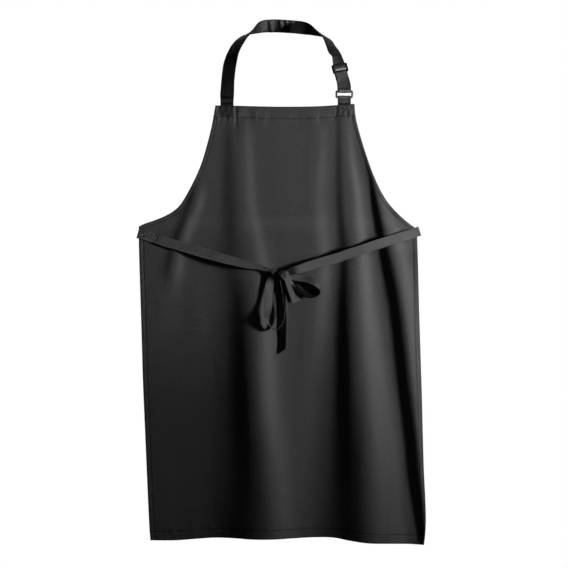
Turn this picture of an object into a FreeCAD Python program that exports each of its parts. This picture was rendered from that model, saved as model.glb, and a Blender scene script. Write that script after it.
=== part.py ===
import FreeCAD, Part
import math
import os

"""Artist's bib apron, hung by its neck loop and tied at the front.

One bib-and-skirt panel with turned hems, a neck strap that runs through a
rectangular ring and a three-bar slider, and two waist tapes tied in a bow.
Millimetres, +Z up, the apron's front faces -Y, +X is to the viewer's right.
Everything is modelled with the middle of the bib's top edge at zero, and moved
at the end so that the origin is the point where the neck loop hangs.
"""

V = FreeCAD.Vector

# ------------------------------------------------------------------ sizes
CLOTH_T = 0.8            # panel cloth
HEM_T = 0.8              # turned hem behind the panel
LAYER_GAP = 0.06         # air between sewn layers
TOP_HEM_H = 25.0
ARM_HEM_W = 9.0
SIDE_HEM_W = 11.0
BOTTOM_HEM_H = 20.0
SEAM_INSET = 2.0         # seam line to the inner edge of its hem
HEM_GAP = 0.05           # each hem stops this far from the waist corner's height

STRAP_W = 26.0           # neck strap width
STRAP_T = 1.4            # neck strap thickness
STRAP_X = -114.9         # middle of the strap's sewn end
FOLD_Z = 8.0             # height of the neck loop's fold line above the bib
SEWN_DEPTH = 22.0        # how far straps are sewn down behind the bib hem

TIE_W = 19.0             # waist tape width
TIE_T = 1.0              # waist tape thickness

RING_W = 35.0            # rectangular ring, outside
RING_H = 16.0
RING_ROD = 3.8           # rod diameter
RING_BEND = 2.5          # corner bend radius, on the rod's centreline
RING_X = 117.4           # ring centre
RING_Z = 22.3
WRAP_GAP = 0.15          # air between the rod and the cloth round it

SLIDER_W = 31.0          # three-bar slider, outside
SLIDER_H = 17.5
SLIDER_BAR = 3.3
SLIDER_Z = 73.9          # height of the slider's centre

STITCH_W = 0.5
STITCH_T = 0.24

HANG = V(-8.0, 92.0, 142.0)   # lower edge of the strap behind the neck

HALF_STRAP = STRAP_W / 2
FIRST_LAYER_Y = CLOTH_T + LAYER_GAP                    # hems, behind the cloth
SECOND_LAYER_Y = FIRST_LAYER_Y + HEM_T + LAYER_GAP     # straps, behind the hems
STITCH_Y = -STITCH_T - 0.02                            # stitches, in front of the cloth
LEFT, RIGHT = 1, -1      # side of the apron; the sign is the X direction towards its middle

# ------------------------------------------------------------------ outline
# (x, z) points along each edge of the panel
TOP_EDGE = [
    (-138.0, 0.2), (-100, -0.4), (-50, -1.6), (0, -2.4), (70, -1.2), (110, 1.4), (137.8, 3.2)]
ARM_LEFT = [
    (-138.0, 0.2), (-140.2, -12.9), (-142.8, -28.7), (-146.0, -44.6), (-149.8, -60.4),
    (-154.0, -76.2), (-158.4, -92.1), (-163.2, -107.9), (-169.0, -123.8), (-175.8, -139.6),
    (-183.5, -155.4), (-191.9, -171.3), (-201.0, -187.1), (-209.0, -198.4), (-222.0, -209.9),
    (-240.4, -220.0), (-260.8, -228.1), (-279.0, -234.4), (-289.5, -239.6)]
SIDE_LEFT = [
    (-289.5, -239.6), (-289.6, -266.3), (-287.9, -329.7), (-285.9, -393.0), (-283.5, -472.2),
    (-281.2, -551.4), (-277.8, -630.6), (-274.4, -709.8), (-270.9, -789.0), (-268.3, -840.5),
    (-266.5, -861.0)]
BOTTOM = [
    (-266.5, -861.0), (-217.6, -861.1), (-177.2, -858.3), (-136.8, -855.8), (-100.4, -857.0),
    (-64.0, -859.5), (-23.8, -859.5), (16.8, -857.1), (57.2, -855.0), (97.6, -855.8),
    (129.9, -862.0), (166.3, -867.0), (210.7, -867.8), (251.1, -868.4), (275.2, -870.2)]
SIDE_RIGHT = [
    (261.6, -245.5), (262.6, -286.1), (263.9, -329.7), (265.3, -393.0), (267.3, -456.4),
    (269.3, -519.8), (271.3, -583.1), (272.8, -646.5), (275.2, -725.7), (277.6, -773.2),
    (279.0, -820.7), (277.6, -850.0), (275.2, -870.2)]
ARM_RIGHT = [
    (137.8, 3.2), (138.8, -12.9), (141.2, -28.7), (144.9, -44.6), (149.3, -60.4),
    (154.0, -76.2), (159.0, -92.1), (164.3, -107.9), (169.9, -123.8), (176.0, -139.6),
    (183.0, -155.4), (190.9, -171.3), (200.4, -187.1), (212.9, -203.0), (228.3, -218.8),
    (243.5, -231.8), (255.4, -240.8), (261.6, -245.5)]

# ------------------------------------------------------------------ drape
# The cloth hangs in soft vertical folds. Each fold flank is one smooth step in depth:
# (height z, centre x, rise towards the front, half-width). The steps add up.
FLANKS = [
    # small fold from the left armhole down to the left waist corner
    [(20, -150, 0, 8), (-140, -176, 0.0, 6), (-187, -188, 3.2, 5), (-235, -206, 3.6, 6),
     (-310, -232, 3.4, 7), (-380, -240, 0, 10), (-900, -240, 0, 10)],
    [(20, -130, 0, 8), (-140, -158, 0.0, 6), (-187, -166, -3.0, 8), (-235, -184, -3.4, 9),
     (-310, -208, -4.4, 9), (-400, -215, -1.5, 16), (-560, -200, -3.0, 40),
     (-900, -190, -6.0, 50)],
    # broad fold under the left strap, widening down the skirt
    [(20, -113, 0.3, 10), (-25, -113, 1.2, 10), (-70, -113, 4.0, 11), (-187, -111, 6.5, 14),
     (-310, -106, 8.0, 18), (-400, -92, 13, 18), (-560, -86, 18, 22), (-700, -82, 22, 26),
     (-900, -92, 22, 34)],
    [(20, -74, -0.2, 9), (-25, -74, -0.8, 9), (-70, -73, -3.0, 9), (-187, -66, -5.0, 11),
     (-310, -44, -7.0, 14), (-400, -36, -12, 15), (-560, -30, -13, 18), (-700, -14, -12, 22),
     (-900, 8, -11, 26)],
    # soft centre
    [(20, 72, -0.1, 9), (-70, 76, -2.0, 9), (-187, 70, -4.5, 12), (-310, 80, -6.5, 13),
     (-400, 76, -5.0, 16), (-560, 56, -5.0, 22), (-900, 50, -4.0, 30)],
    # deep fold right of centre
    [(20, 106, 0.1, 6), (-70, 106, 2.4, 6), (-187, 108, 4.5, 7), (-310, 117, 10, 10),
     (-400, 116, 17, 13), (-560, 120, 23, 16), (-700, 122, 26, 20), (-900, 118, 27, 24)],
    [(20, 126, -0.1, 7), (-70, 130, -2.8, 7), (-187, 146, -7.0, 9), (-310, 158, -12.5, 12),
     (-400, 166, -17, 14), (-560, 184, -22, 17), (-700, 200, -23, 19), (-900, 216, -22, 22)],
    # sharp fold from the right armhole to the hem
    [(20, 150, 0, 5), (-70, 154, 0.8, 5), (-110, 161, 2.5, 5), (-150, 170, 5.5, 4.6),
     (-187, 177, 8.2, 5), (-235, 186, 10.5, 6), (-310, 202, 14, 8), (-400, 218, 16, 10),
     (-560, 234, 18, 10), (-700, 244, 19, 10), (-820, 256, 17, 8), (-900, 264, 14, 8)],
    [(20, 160, 0, 5), (-70, 164, -0.6, 5), (-187, 195, -5, 7), (-235, 212, -8, 10),
     (-310, 236, -12, 13), (-400, 250, -13, 12), (-560, 262, -13, 9), (-700, 268, -12, 7),
     (-900, 276, -9, 6)],
]

# grid through which the cloth surface is interpolated, a little larger than the panel
SHEET_HALF_W = 320
SHEET_TOP = 16
SHEET_BOTTOM = -890
SHEET_COLUMNS = 68
SHEET_ROWS = 34


def limited_slope(before, after):
    """Harmonic mean of two slopes, or zero where they change sign, so that nothing overshoots."""
    return 0.0 if before * after <= 0 else 2 * before * after / (before + after)


def hermite(rows, z):
    """Smooth interpolation of a table whose first column is z, in falling order."""
    if z >= rows[0][0]:
        return rows[0][1:]
    if z <= rows[-1][0]:
        return rows[-1][1:]
    i = next(i for i in range(len(rows) - 1) if rows[i + 1][0] <= z <= rows[i][0])
    upper, lower = rows[i], rows[i + 1]
    height = lower[0] - upper[0]
    t = (z - upper[0]) / height
    t2, t3 = t * t, t * t * t
    values = []
    for k in range(1, len(upper)):
        def slope(start, end):
            return (end[k] - start[k]) / (end[0] - start[0])
        here = slope(upper, lower)
        above = slope(rows[i - 1], upper) if i > 0 else here
        below = slope(lower, rows[i + 2]) if i + 2 < len(rows) else here
        values.append((2 * t3 - 3 * t2 + 1) * upper[k]
                      + (t3 - 2 * t2 + t) * height * limited_slope(above, here)
                      + (-2 * t3 + 3 * t2) * lower[k]
                      + (t3 - t2) * height * limited_slope(here, below))
    return tuple(values)


def raw_height(x, z):
    """Sum of all flanks: height towards the front."""
    total = 0
    for flank in FLANKS:
        centre, rise, half_width = hermite(flank, z)
        total += 0.5 * rise * math.tanh((x - centre) / half_width)
    return total


def ramp(t):
    """Smooth step from 0 to 1 as t goes from 0 to 1."""
    t = min(1.0, max(0.0, t))
    return t * t * (3 - 2 * t)


def side_edges(z):
    """Approximate x of the panel's left and right edges at height z."""
    if z < -250:
        return -289 + 22 * (-250 - z) / 611, 262 + 16 * (-250 - z) / 620
    flare = ramp(-z / 250.0)
    return -138 - 151 * flare, 138 + 124 * flare


def drape(x, z):
    """Depth y of the cloth's front face. Both side edges hang at y = 0."""
    left, right = side_edges(z)
    left_height, right_height = raw_height(left, z), raw_height(right, z)
    across = min(1.3, max(-0.3, (x - left) / (right - left)))
    base = left_height + (right_height - left_height) * across
    # the cloth lies flat where the waist tapes are sewn on
    flat = ((ramp((x - 222) / 13) + ramp((-244 - x) / 13))
            * ramp((-229 - z) / 9) * ramp((z + 278) / 12))
    return -(raw_height(x, z) - base) * (1 - flat)


def sheet_surface():
    """The draped front face; u runs along +X and v runs down."""
    xs = [-SHEET_HALF_W + 2 * SHEET_HALF_W * i / SHEET_COLUMNS for i in range(SHEET_COLUMNS + 1)]
    zs = [SHEET_TOP - (SHEET_TOP - SHEET_BOTTOM) * j / SHEET_ROWS for j in range(SHEET_ROWS + 1)]
    surface = Part.BSplineSurface()
    surface.interpolate([[V(x, drape(x, z), z) for z in zs] for x in xs])
    return surface


SHEET = sheet_surface()


# ------------------------------------------------------------------ cloth helpers
CUT_REACH = 90.0         # cutting prisms run this far in front of and behind y = 0
PATCH_MARGIN = 3         # spare cloth round a layer before it is cut


def bisect(low, high, falls_short):
    for _ in range(40):
        middle = (low + high) / 2
        if falls_short(middle):
            low = middle
        else:
            high = middle
    return low


def layer(depth, thickness, patch):
    """A slab of cloth that follows the drape, starting at depth behind the front face."""
    x0, x1, z0, z1 = patch
    u0, u1, v0, v1 = SHEET.bounds()
    u_mid, v_mid = (u0 + u1) / 2, (v0 + v1) / 2

    def u_at(x):
        return bisect(u0, u1, lambda u: SHEET.value(u, v_mid).x < x)

    def v_at(z):
        return bisect(v0, v1, lambda v: SHEET.value(u_mid, v).z > z)

    # trimmed to a small patch, so that booleans stay quick
    surface = SHEET.copy()
    surface.segment(u_at(max(x0 - PATCH_MARGIN, 1 - SHEET_HALF_W)),
                    u_at(min(x1 + PATCH_MARGIN, SHEET_HALF_W - 1)),
                    v_at(min(z1 + PATCH_MARGIN, SHEET_TOP - 1)),
                    v_at(max(z0 - PATCH_MARGIN, SHEET_BOTTOM + 1)))
    face = surface.toShape()
    face.translate(V(0, depth, 0))
    return face.extrude(V(0, thickness, 0))


def outline_edge(points):
    """A line through two (x, z) points or a spline through more, at the front of the prism."""
    places = [V(x, -CUT_REACH, z) for x, z in points]
    if len(places) == 2:
        return Part.makeLine(*places)
    curve = Part.BSplineCurve()
    curve.interpolate(places)
    return curve.toShape()


def prism(outline):
    """Solid over a closed outline in the XZ plane; each list of points becomes one edge."""
    edges = [outline_edge(points) for points in outline]
    wire = Part.Wire(Part.__sortEdges__(edges))
    return Part.Face(wire).extrude(V(0, 2 * CUT_REACH, 0))


def band(first, second):
    """Prism between two runs of points that go the same way."""
    return prism([first, [first[-1], second[-1]], second, [second[0], first[0]]])


def box_prism(x0, x1, z0, z1):
    return Part.makeBox(x1 - x0, 2 * CUT_REACH, z1 - z0, V(x0, -CUT_REACH, z0))


def half_box(side, z0, z1):
    """Box over one half of the apron between two heights."""
    outer = -side * 330
    return box_prism(min(0, outer), max(0, outer), z0, z1)


def offset(points, distance):
    """Points moved to the left of the direction of travel, in the XZ plane."""
    moved = []
    for i, (x, z) in enumerate(points):
        before = points[max(i - 1, 0)]
        after = points[min(i + 1, len(points) - 1)]
        along_x, along_z = after[0] - before[0], after[1] - before[1]
        length = math.hypot(along_x, along_z)
        moved.append((x - along_z / length * distance, z + along_x / length * distance))
    return moved


def solid_of(shape):
    """The shape's only solid, or a compound of all its solids."""
    solids = shape.Solids
    return solids[0] if len(solids) == 1 else Part.Compound(solids)


def cut_layer(depth, thickness, area, patch):
    """The part of a cloth layer inside area; patch (x0, x1, z0, z1) covers that area."""
    return solid_of(layer(depth, thickness, patch).common(area))


# ------------------------------------------------------------------ tape helpers
def blend(first, second, t0, t1, t):
    """Row between two rows, which stand at t0 and t1."""
    return [(t1 - t) / (t1 - t0) * a + (t - t0) / (t1 - t0) * b for a, b in zip(first, second)]


def catmull(rows, steps):
    """Resample rows of numbers with steps per span, Catmull-Rom, centripetal knots."""
    def knot_gap(a, b):
        return max(1e-6, math.dist(a[:3], b[:3])) ** 0.5

    def beyond(end, inner):
        return [2 * a - b for a, b in zip(end, inner)]

    extended = [beyond(rows[0], rows[1]), *rows, beyond(rows[-1], rows[-2])]
    resampled = []
    for p0, p1, p2, p3 in zip(extended, extended[1:], extended[2:], extended[3:]):
        t0 = 0.0
        t1 = t0 + knot_gap(p0, p1)
        t2 = t1 + knot_gap(p1, p2)
        t3 = t2 + knot_gap(p2, p3)
        for step in range(steps):
            t = t1 + (t2 - t1) * step / steps
            first = blend(p0, p1, t0, t1, t)
            middle = blend(p1, p2, t1, t2, t)
            last = blend(p2, p3, t2, t3, t)
            resampled.append(blend(blend(first, middle, t0, t2, t),
                                   blend(middle, last, t1, t3, t), t1, t2, t))
    resampled.append(list(rows[-1]))
    return resampled


def run_direction(rows, i):
    before, after = rows[max(i - 1, 0)], rows[min(i + 1, len(rows) - 1)]
    return (V(*after[:3]) - V(*before[:3])).normalize()


def cross_axes(along, turn):
    """Width direction and face normal of a tape turned by turn degrees about its own length."""
    level = V(along.z, 0, -along.x).normalize()
    angle = math.radians(turn)
    across = level * math.cos(angle) + level.cross(along) * math.sin(angle)
    return across, across.cross(along)


def turned_sections(rows):
    """Sections (centre, width direction, normal, width) from rows of (x, y, z, turn, width)."""
    return [(V(*row[:3]), *cross_axes(run_direction(rows, i), row[3]), row[4])
            for i, row in enumerate(rows)]


def square_across(along, width_direction):
    """Width direction made square to the run."""
    return (width_direction - along * width_direction.dot(along)).normalize()


def directed_sections(rows):
    """Sections from rows of (x, y, z, width direction x, y, z, width)."""
    sections = []
    for i, row in enumerate(rows):
        along = run_direction(rows, i)
        across = square_across(along, V(*row[3:6]))
        sections.append((V(*row[:3]), across, across.cross(along), row[6]))
    return sections


def reaimed(section, across, normal):
    return section[0], across, normal, section[3]


def tape(sections, thickness):
    """Ruled loft through rectangular sections."""
    wires = []
    for centre, across, normal, width in sections:
        a, b = across * (width / 2), normal * (thickness / 2)
        corners = [centre - a - b, centre + a - b, centre + a + b, centre - a + b]
        wires.append(Part.makePolygon(corners + [corners[0]]))
    return solid_of(Part.makeLoft(wires, True, True))


def local(shape, origin, across, along, normal):
    """Place a shape drawn with x across, y along and z normal to a tape."""
    placed = shape.copy()
    placed.transformShape(FreeCAD.Matrix(
        across.x, along.x, normal.x, origin.x,
        across.y, along.y, normal.y, origin.y,
        across.z, along.z, normal.z, origin.z,
        0, 0, 0, 1), True)
    return placed


def path_face(place, start, *steps):
    """Face in a closed path; a step is (end,) for a line or (middle, end) for an arc."""
    edges = []
    last = place(*start)
    for step in steps:
        points = [last] + [place(*point) for point in step]
        is_line = len(points) == 2
        edges.append(Part.makeLine(*points) if is_line else Part.Arc(*points).toShape())
        last = points[-1]
    return Part.Face(Part.Wire(edges))


# ------------------------------------------------------------------ panel and hems
PANEL_AREA = prism([TOP_EDGE, ARM_LEFT, SIDE_LEFT, BOTTOM, SIDE_RIGHT, ARM_RIGHT])


def top_hem():
    hem = cut_layer(FIRST_LAYER_Y, HEM_T, PANEL_AREA, (-160, 160, -40, 10))
    return solid_of(hem.common(box_prism(-160, 160, -TOP_HEM_H, 12)))


def armhole_hem(edge, side, patch):
    """Hem from under the bib hem to the waist corner."""
    inner = offset(edge, side * ARM_HEM_W)
    corner = (inner[-1][0], edge[-1][1] - 0.2)
    area = prism([edge, [edge[-1], corner], [corner, inner[-2]], inner[:-1],
                  [inner[0], edge[0]]])
    below_top_hem = box_prism(-330, 330, -900, -TOP_HEM_H - 0.1)
    above_waist = half_box(side, edge[-1][1] + HEM_GAP, 20)
    hem = cut_layer(FIRST_LAYER_Y, HEM_T, area, patch)
    return solid_of(hem.common(below_top_hem).common(above_waist))


def side_hem(edge, side, bottom_gap, patch):
    """Hem from the waist corner to bottom_gap above the bottom hem's height at that corner."""
    area = band(edge, offset(edge, side * SIDE_HEM_W))
    between = half_box(side, edge[-1][1] + BOTTOM_HEM_H + bottom_gap, edge[0][1] - HEM_GAP)
    return solid_of(cut_layer(FIRST_LAYER_Y, HEM_T, area, patch).common(between))


def bottom_hem():
    (left_x, left_z), (right_x, right_z) = BOTTOM[0], BOTTOM[-1]
    # the hem stops a little inside the fold, as turned cloth does
    low = [(x, z + 0.4) for x, z in BOTTOM]
    low[0] = (left_x + 0.4, left_z + 0.4)
    low[-1] = (right_x - 0.4, right_z + 0.6)
    inner = [(x, z + BOTTOM_HEM_H) for x, z in BOTTOM]
    inner[0] = (left_x - 1.3, left_z + BOTTOM_HEM_H)
    inner[-1] = (right_x + 1.8, right_z + BOTTOM_HEM_H)
    return cut_layer(FIRST_LAYER_Y, HEM_T, band(low, inner), (-300, 300, -885, -830))


# ------------------------------------------------------------------ seams on the front
STITCH_MARGIN = 4        # patch margin round stitching

TOP_SEAM = [  # (x, z)
    (-139.4, -TOP_HEM_H + 1.6), (-70, -TOP_HEM_H + 1.2), (0, -TOP_HEM_H + 0.6),
    (70, -TOP_HEM_H + 1.2), (138.6, -TOP_HEM_H + 2.8)]


def patch_round(x0, x1, z0, z1):
    return x0 - STITCH_MARGIN, x1 + STITCH_MARGIN, z0 - STITCH_MARGIN, z1 + STITCH_MARGIN


def seam(points):
    area = band(offset(points, STITCH_W / 2), offset(points, -STITCH_W / 2))
    xs, zs = zip(*points)
    patch = patch_round(min(xs), max(xs), min(zs), max(zs))
    return cut_layer(STITCH_Y, STITCH_T, area, patch)


def edge_seams(left_edge, right_edge, hem_width, skipped):
    """Seams along a left and a right hem, leaving out the first skipped points and the last."""
    inset = hem_width - SEAM_INSET
    return Part.Compound([seam(offset(edge, side * inset)[skipped:-1])
                          for edge, side in ((left_edge, LEFT), (right_edge, RIGHT))])


def bottom_hem_seam():
    return seam([(x, z + BOTTOM_HEM_H - SEAM_INSET) for x, z in BOTTOM][1:-1])


# ------------------------------------------------------------------ sewn ends on the bib
def sewn_end(middle_x, thickness, top_z, patch):
    area = box_prism(middle_x - HALF_STRAP, middle_x + HALF_STRAP, -SEWN_DEPTH, top_z)
    return cut_layer(SECOND_LAYER_Y, thickness, area, patch)


def box_stitch(middle_x, top_z):
    """Rectangle of stitching on the front."""
    x0, x1 = middle_x - HALF_STRAP + 3, middle_x + HALF_STRAP - 3
    z0 = -SEWN_DEPTH + 2.5
    frame = box_prism(x0, x1, z0, top_z).cut(
        box_prism(x0 + STITCH_W, x1 - STITCH_W, z0 + STITCH_W, top_z - STITCH_W))
    return cut_layer(STITCH_Y, STITCH_T, frame, patch_round(x0, x1, z0, top_z))


# ------------------------------------------------------------------ rectangular ring
ROD_R = RING_ROD / 2
STRAP_MID_Y = drape(RING_X, 0.0) + SECOND_LAYER_Y + STRAP_T / 2   # strap mid-plane at the ring
BAR_Y = STRAP_MID_Y + STRAP_T / 2 + WRAP_GAP + ROD_R
LOW_BAR_Z = RING_Z - RING_H / 2 + ROD_R
HIGH_BAR_Z = RING_Z + RING_H / 2 - ROD_R

# cloth wrapped round the ring's bars
WRAP_IN = ROD_R + WRAP_GAP
WRAP_OUT = WRAP_IN + STRAP_T
WRAP_FRONT = BAR_Y - WRAP_OUT
WRAP_BACK = BAR_Y + WRAP_OUT
LEG_TOP_Z = HIGH_BAR_Z + 3.6       # top of the strap's fold round the high bar


def strap_ring():
    half_w = RING_W / 2 - ROD_R
    half_h = (HIGH_BAR_Z - LOW_BAR_Z) / 2
    bend_x = half_w - RING_BEND
    low_bend_z, high_bend_z = LOW_BAR_Z + RING_BEND, HIGH_BAR_Z - RING_BEND
    pieces = [Part.makeCylinder(ROD_R, 2 * bend_x, V(RING_X - bend_x, BAR_Y, z), V(1, 0, 0))
              for z in (LOW_BAR_Z, HIGH_BAR_Z)]
    pieces += [Part.makeCylinder(ROD_R, 2 * (half_h - RING_BEND), V(x, BAR_Y, low_bend_z),
                                 V(0, 0, 1))
               for x in (RING_X - half_w, RING_X + half_w)]
    corners = ((-1, low_bend_z, 180), (1, low_bend_z, 270),
               (1, high_bend_z, 0), (-1, high_bend_z, 90))
    for side, bend_z, start in corners:
        # a quarter bend: the rod's section revolved about the bend's axis, along -Y
        centre = V(RING_X + side * bend_x, BAR_Y, bend_z)
        cos, sin = math.cos(math.radians(start)), math.sin(math.radians(start))
        circle = Part.makeCircle(ROD_R, centre + V(RING_BEND * cos, 0, RING_BEND * sin),
                                 V(-sin, 0, cos))
        pieces.append(Part.Face(Part.Wire(circle)).revolve(centre, V(0, -1, 0), 90))
    return solid_of(pieces[0].multiFuse(pieces[1:]).removeSplitter())


def ring_yz(y, z):
    """Point in the plane of the ring strap's left edge."""
    return V(RING_X - HALF_STRAP, y, z)


def ring_tab_loop():
    """Tab over the low bar, both layers brought together below it."""
    bottom_z = FOLD_Z + 1.0
    back_z = LOW_BAR_Z - 1.6           # where the back layer starts to slope forward
    hole_z = bottom_z + 2.6
    hole_front, hole_back = BAR_Y - WRAP_IN, BAR_Y + WRAP_IN
    outer = path_face(
        ring_yz, (WRAP_FRONT, bottom_z),
        [(WRAP_FRONT, LOW_BAR_Z)],
        [(BAR_Y, LOW_BAR_Z + WRAP_OUT), (WRAP_BACK, LOW_BAR_Z)],
        [(WRAP_BACK, back_z)],
        [(WRAP_FRONT + 2 * STRAP_T, bottom_z)],
        [(WRAP_FRONT, bottom_z)])
    hole = path_face(
        ring_yz, (hole_front, hole_z),
        [(hole_front, LOW_BAR_Z)],
        [(BAR_Y, LOW_BAR_Z + WRAP_IN), (hole_back, LOW_BAR_Z)],
        [(hole_back, back_z)],
        [(hole_front + 0.5, hole_z)],
        [(hole_front, hole_z)])
    return solid_of(outer.cut(hole).extrude(V(STRAP_W, 0, 0)))


def neck_strap_ring_fold():
    """U of strap that passes under the high bar."""
    front_inner, back_inner = WRAP_FRONT + STRAP_T, WRAP_BACK - STRAP_T
    face = path_face(
        ring_yz, (WRAP_FRONT, LEG_TOP_Z),
        [(WRAP_FRONT, HIGH_BAR_Z)],
        [(BAR_Y, HIGH_BAR_Z - WRAP_OUT), (WRAP_BACK, HIGH_BAR_Z)],
        [(WRAP_BACK, LEG_TOP_Z)],
        [(back_inner, LEG_TOP_Z)],
        [(back_inner, HIGH_BAR_Z)],
        [(BAR_Y, HIGH_BAR_Z - WRAP_IN), (front_inner, HIGH_BAR_Z)],
        [(front_inner, LEG_TOP_Z)],
        [(WRAP_FRONT, LEG_TOP_Z)])
    return solid_of(face.extrude(V(STRAP_W, 0, 0)))


# ------------------------------------------------------------------ neck strap
LEFT_STRAP_Y = drape(STRAP_X, 0.0) + SECOND_LAYER_Y + STRAP_T / 2
STRAP_LOW_Z = LEG_TOP_Z + 0.7

# the straight run that carries the slider, from its top down
STRAIGHT_TOP = V(102.4, 17.4, 99.0)
STRAIGHT_LOW = V(113.4, 7.4, 57.0)
STRAIGHT_TURN = 20
STRAIGHT_ALONG = (STRAIGHT_LOW - STRAIGHT_TOP).normalize()
STRAIGHT_ACROSS, STRAIGHT_NORMAL = cross_axes(STRAIGHT_ALONG, STRAIGHT_TURN)

# (x, y, z, turn about its length in degrees), from the left sewn end over to the straight run
NECK = [
    (STRAP_X, LEFT_STRAP_Y, FOLD_Z + 1.2, 0), (-114.7, LEFT_STRAP_Y + 0.1, 20, 0),
    (-113.1, LEFT_STRAP_Y + 2.4, 49.7, 2), (-109.1, 11, 81.6, 10), (-101.8, 21, 106.5, 34),
    (-93, 31, 122.6, 47), (-84.1, 41, 133.8, 63), (-76.2, 50, 140.8, 77), (-70, 57, 145, 90),
    (-54.6, 72, 153, 136), (-41, 81, 156.2, 165), (-20.6, 89, 157, 178),
    (4.4, 92, 155.8, 180), (27.1, 88, 154, 167), (45.3, 78, 150.9, 142),
    (59, 67, 145.5, 114), (73, 53.5, 139.4, 90), (82.9, 43, 130.5, 72),
    (88, 37, 123.8, 62), (94, 29, 115.6, 45),
    (STRAIGHT_TOP.x - 1.4, STRAIGHT_TOP.y + 1.4, STRAIGHT_TOP.z + 6.0, 26),
]


def on_straight(fraction):
    """Point on the straight run, 0 at its top and 1 at its low end."""
    return STRAIGHT_TOP + (STRAIGHT_LOW - STRAIGHT_TOP) * fraction


def straight_at(z):
    return on_straight((STRAIGHT_TOP.z - z) / (STRAIGHT_TOP.z - STRAIGHT_LOW.z))


def straight_row(point):
    return [point.x, point.y, point.z, STRAIGHT_TURN]


def strap_sections(rows):
    """Sections whose last one is square to the bib."""
    sections = turned_sections([list(row) + [STRAP_W] for row in rows])
    sections[-1] = reaimed(sections[-1], V(-1, 0, 0), V(0, -1, 0))
    return sections


def neck_strap():
    upper = catmull(NECK + [straight_row(STRAIGHT_TOP)], 3)
    straight = [straight_row(on_straight(fraction)) for fraction in (0.2, 0.4, 0.6, 0.8, 1.0)]
    lower = catmull([
        straight_row(STRAIGHT_LOW),
        [115.4, 4.8, 46.5, 12],
        [117.2, STRAP_MID_Y + 0.3, STRAP_LOW_Z + 5.0, 2],
        [RING_X, STRAP_MID_Y + 0.05, STRAP_LOW_Z + 2.0, 0],
        [RING_X, STRAP_MID_Y, STRAP_LOW_Z, 0]], 3)
    sections = strap_sections(upper + straight + lower[1:])
    # the straight run keeps one exact direction, shared with the slider
    for i in range(len(upper) - 1, len(upper) + len(straight)):
        sections[i] = reaimed(sections[i], STRAIGHT_ACROSS, STRAIGHT_NORMAL)
    sections[0] = reaimed(sections[0], V(1, 0, 0), V(0, -1, 0))
    return tape(sections, STRAP_T)


def neck_strap_return():
    """The layer behind the strap, between the slider and the ring."""
    return_y = WRAP_BACK - STRAP_T / 2
    shift = return_y - STRAP_MID_Y
    beside = straight_at(58.6)
    rows = catmull([
        straight_row(beside - STRAIGHT_NORMAL * 4.3),
        [114.6, beside.y + shift - 3.0, 49.0, 14],
        [117.0, return_y + 0.4, STRAP_LOW_Z + 6, 6],
        [RING_X, return_y + 0.05, STRAP_LOW_Z + 2.0, 0],
        [RING_X, return_y, STRAP_LOW_Z, 0]], 4)
    sections = strap_sections(rows)
    sections[0] = reaimed(sections[0], STRAIGHT_ACROSS, STRAIGHT_NORMAL)
    return tape(sections, 1.1)


# ------------------------------------------------------------------ slider
# drawn with x across the strap, y down along it and z towards its front
SLIDER_FRONT = 3.2
SLIDER_BACK = -3.9
FRONT_BAR_BACK = 1.0     # back of the upper and lower bars


def on_slider(shape):
    return local(shape, straight_at(SLIDER_Z), STRAIGHT_ACROSS, STRAIGHT_ALONG, STRAIGHT_NORMAL)


def slider_body():
    half_w, half_h = SLIDER_W / 2, SLIDER_H / 2
    rail = half_w - HALF_STRAP - 0.3

    def block(x0, x1, y0, y1, z0, z1):
        return Part.makeBox(x1 - x0, y1 - y0, z1 - z0, V(x0, y0, z0))

    def near(a, b):
        return abs(a - b) < 1e-6

    def is_corner(edge):
        if len(edge.Vertexes) != 2:
            return False
        start, end = edge.Vertexes
        return (near(abs(start.X), half_w) and near(abs(start.Y), half_h)
                and near(start.X, end.X) and near(start.Y, end.Y))

    blocks = [
        block(-half_w, half_w, -half_h, -half_h + SLIDER_BAR, FRONT_BAR_BACK, SLIDER_FRONT),
        block(-half_w, half_w, half_h - SLIDER_BAR, half_h, FRONT_BAR_BACK, SLIDER_FRONT),
        block(-half_w, -half_w + rail, -half_h, half_h, SLIDER_BACK, SLIDER_FRONT),
        block(half_w - rail, half_w, -half_h, half_h, SLIDER_BACK, SLIDER_FRONT),
        block(-half_w, half_w, -1.5, 1.5, -3.8, -2.2),     # centre bar
    ]
    body = blocks[0].multiFuse(blocks[1:]).removeSplitter()
    body = body.makeFillet(1.9, [edge for edge in body.Edges if is_corner(edge)])
    front = [edge for edge in body.Edges
             if all(near(vertex.Z, SLIDER_FRONT) for vertex in edge.Vertexes)]
    # the front rounding can fail on the filleted corners; the body then stays sharp
    try:
        return body.makeFillet(0.7, front)
    except Exception:
        return body


def strap_end_loop():
    """The strap's end, wrapped round the slider's centre bar with a single layer below it."""
    front, back = -1.2, -4.8
    radius = (front - back) / 2
    middle = (front + back) / 2
    wrap_y, end_y = -0.9, 9.6
    face = path_face(
        lambda y, z: V(-HALF_STRAP, y, z), (wrap_y, front),
        [(wrap_y - radius, middle), (wrap_y, back)],
        [(end_y, back)],
        [(end_y, middle)],
        [(4.4, middle)],
        [(1.8, front)],
        [(wrap_y, front)])
    hole = Part.makeBox(STRAP_W, 3.2, 1.8, V(-HALF_STRAP, -1.6, -3.9))
    return solid_of(on_slider(face.extrude(V(STRAP_W, 0, 0)).cut(hole)))


def strap_end_stitching():
    """Two rows of stitching behind the strap's end."""
    return Part.Compound([
        on_slider(Part.makeBox(STRAP_W - 6, STITCH_W, 0.3, V(-HALF_STRAP + 3, y, -5.12)))
        for y in (6.2, 8.2)])


# ------------------------------------------------------------------ waist ties
# (side edge x, middle height z) of each tape where it is sewn on
LEFT_CORNER = (-289.0, -254.5)
RIGHT_CORNER = (262.4, -252.0)

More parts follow.
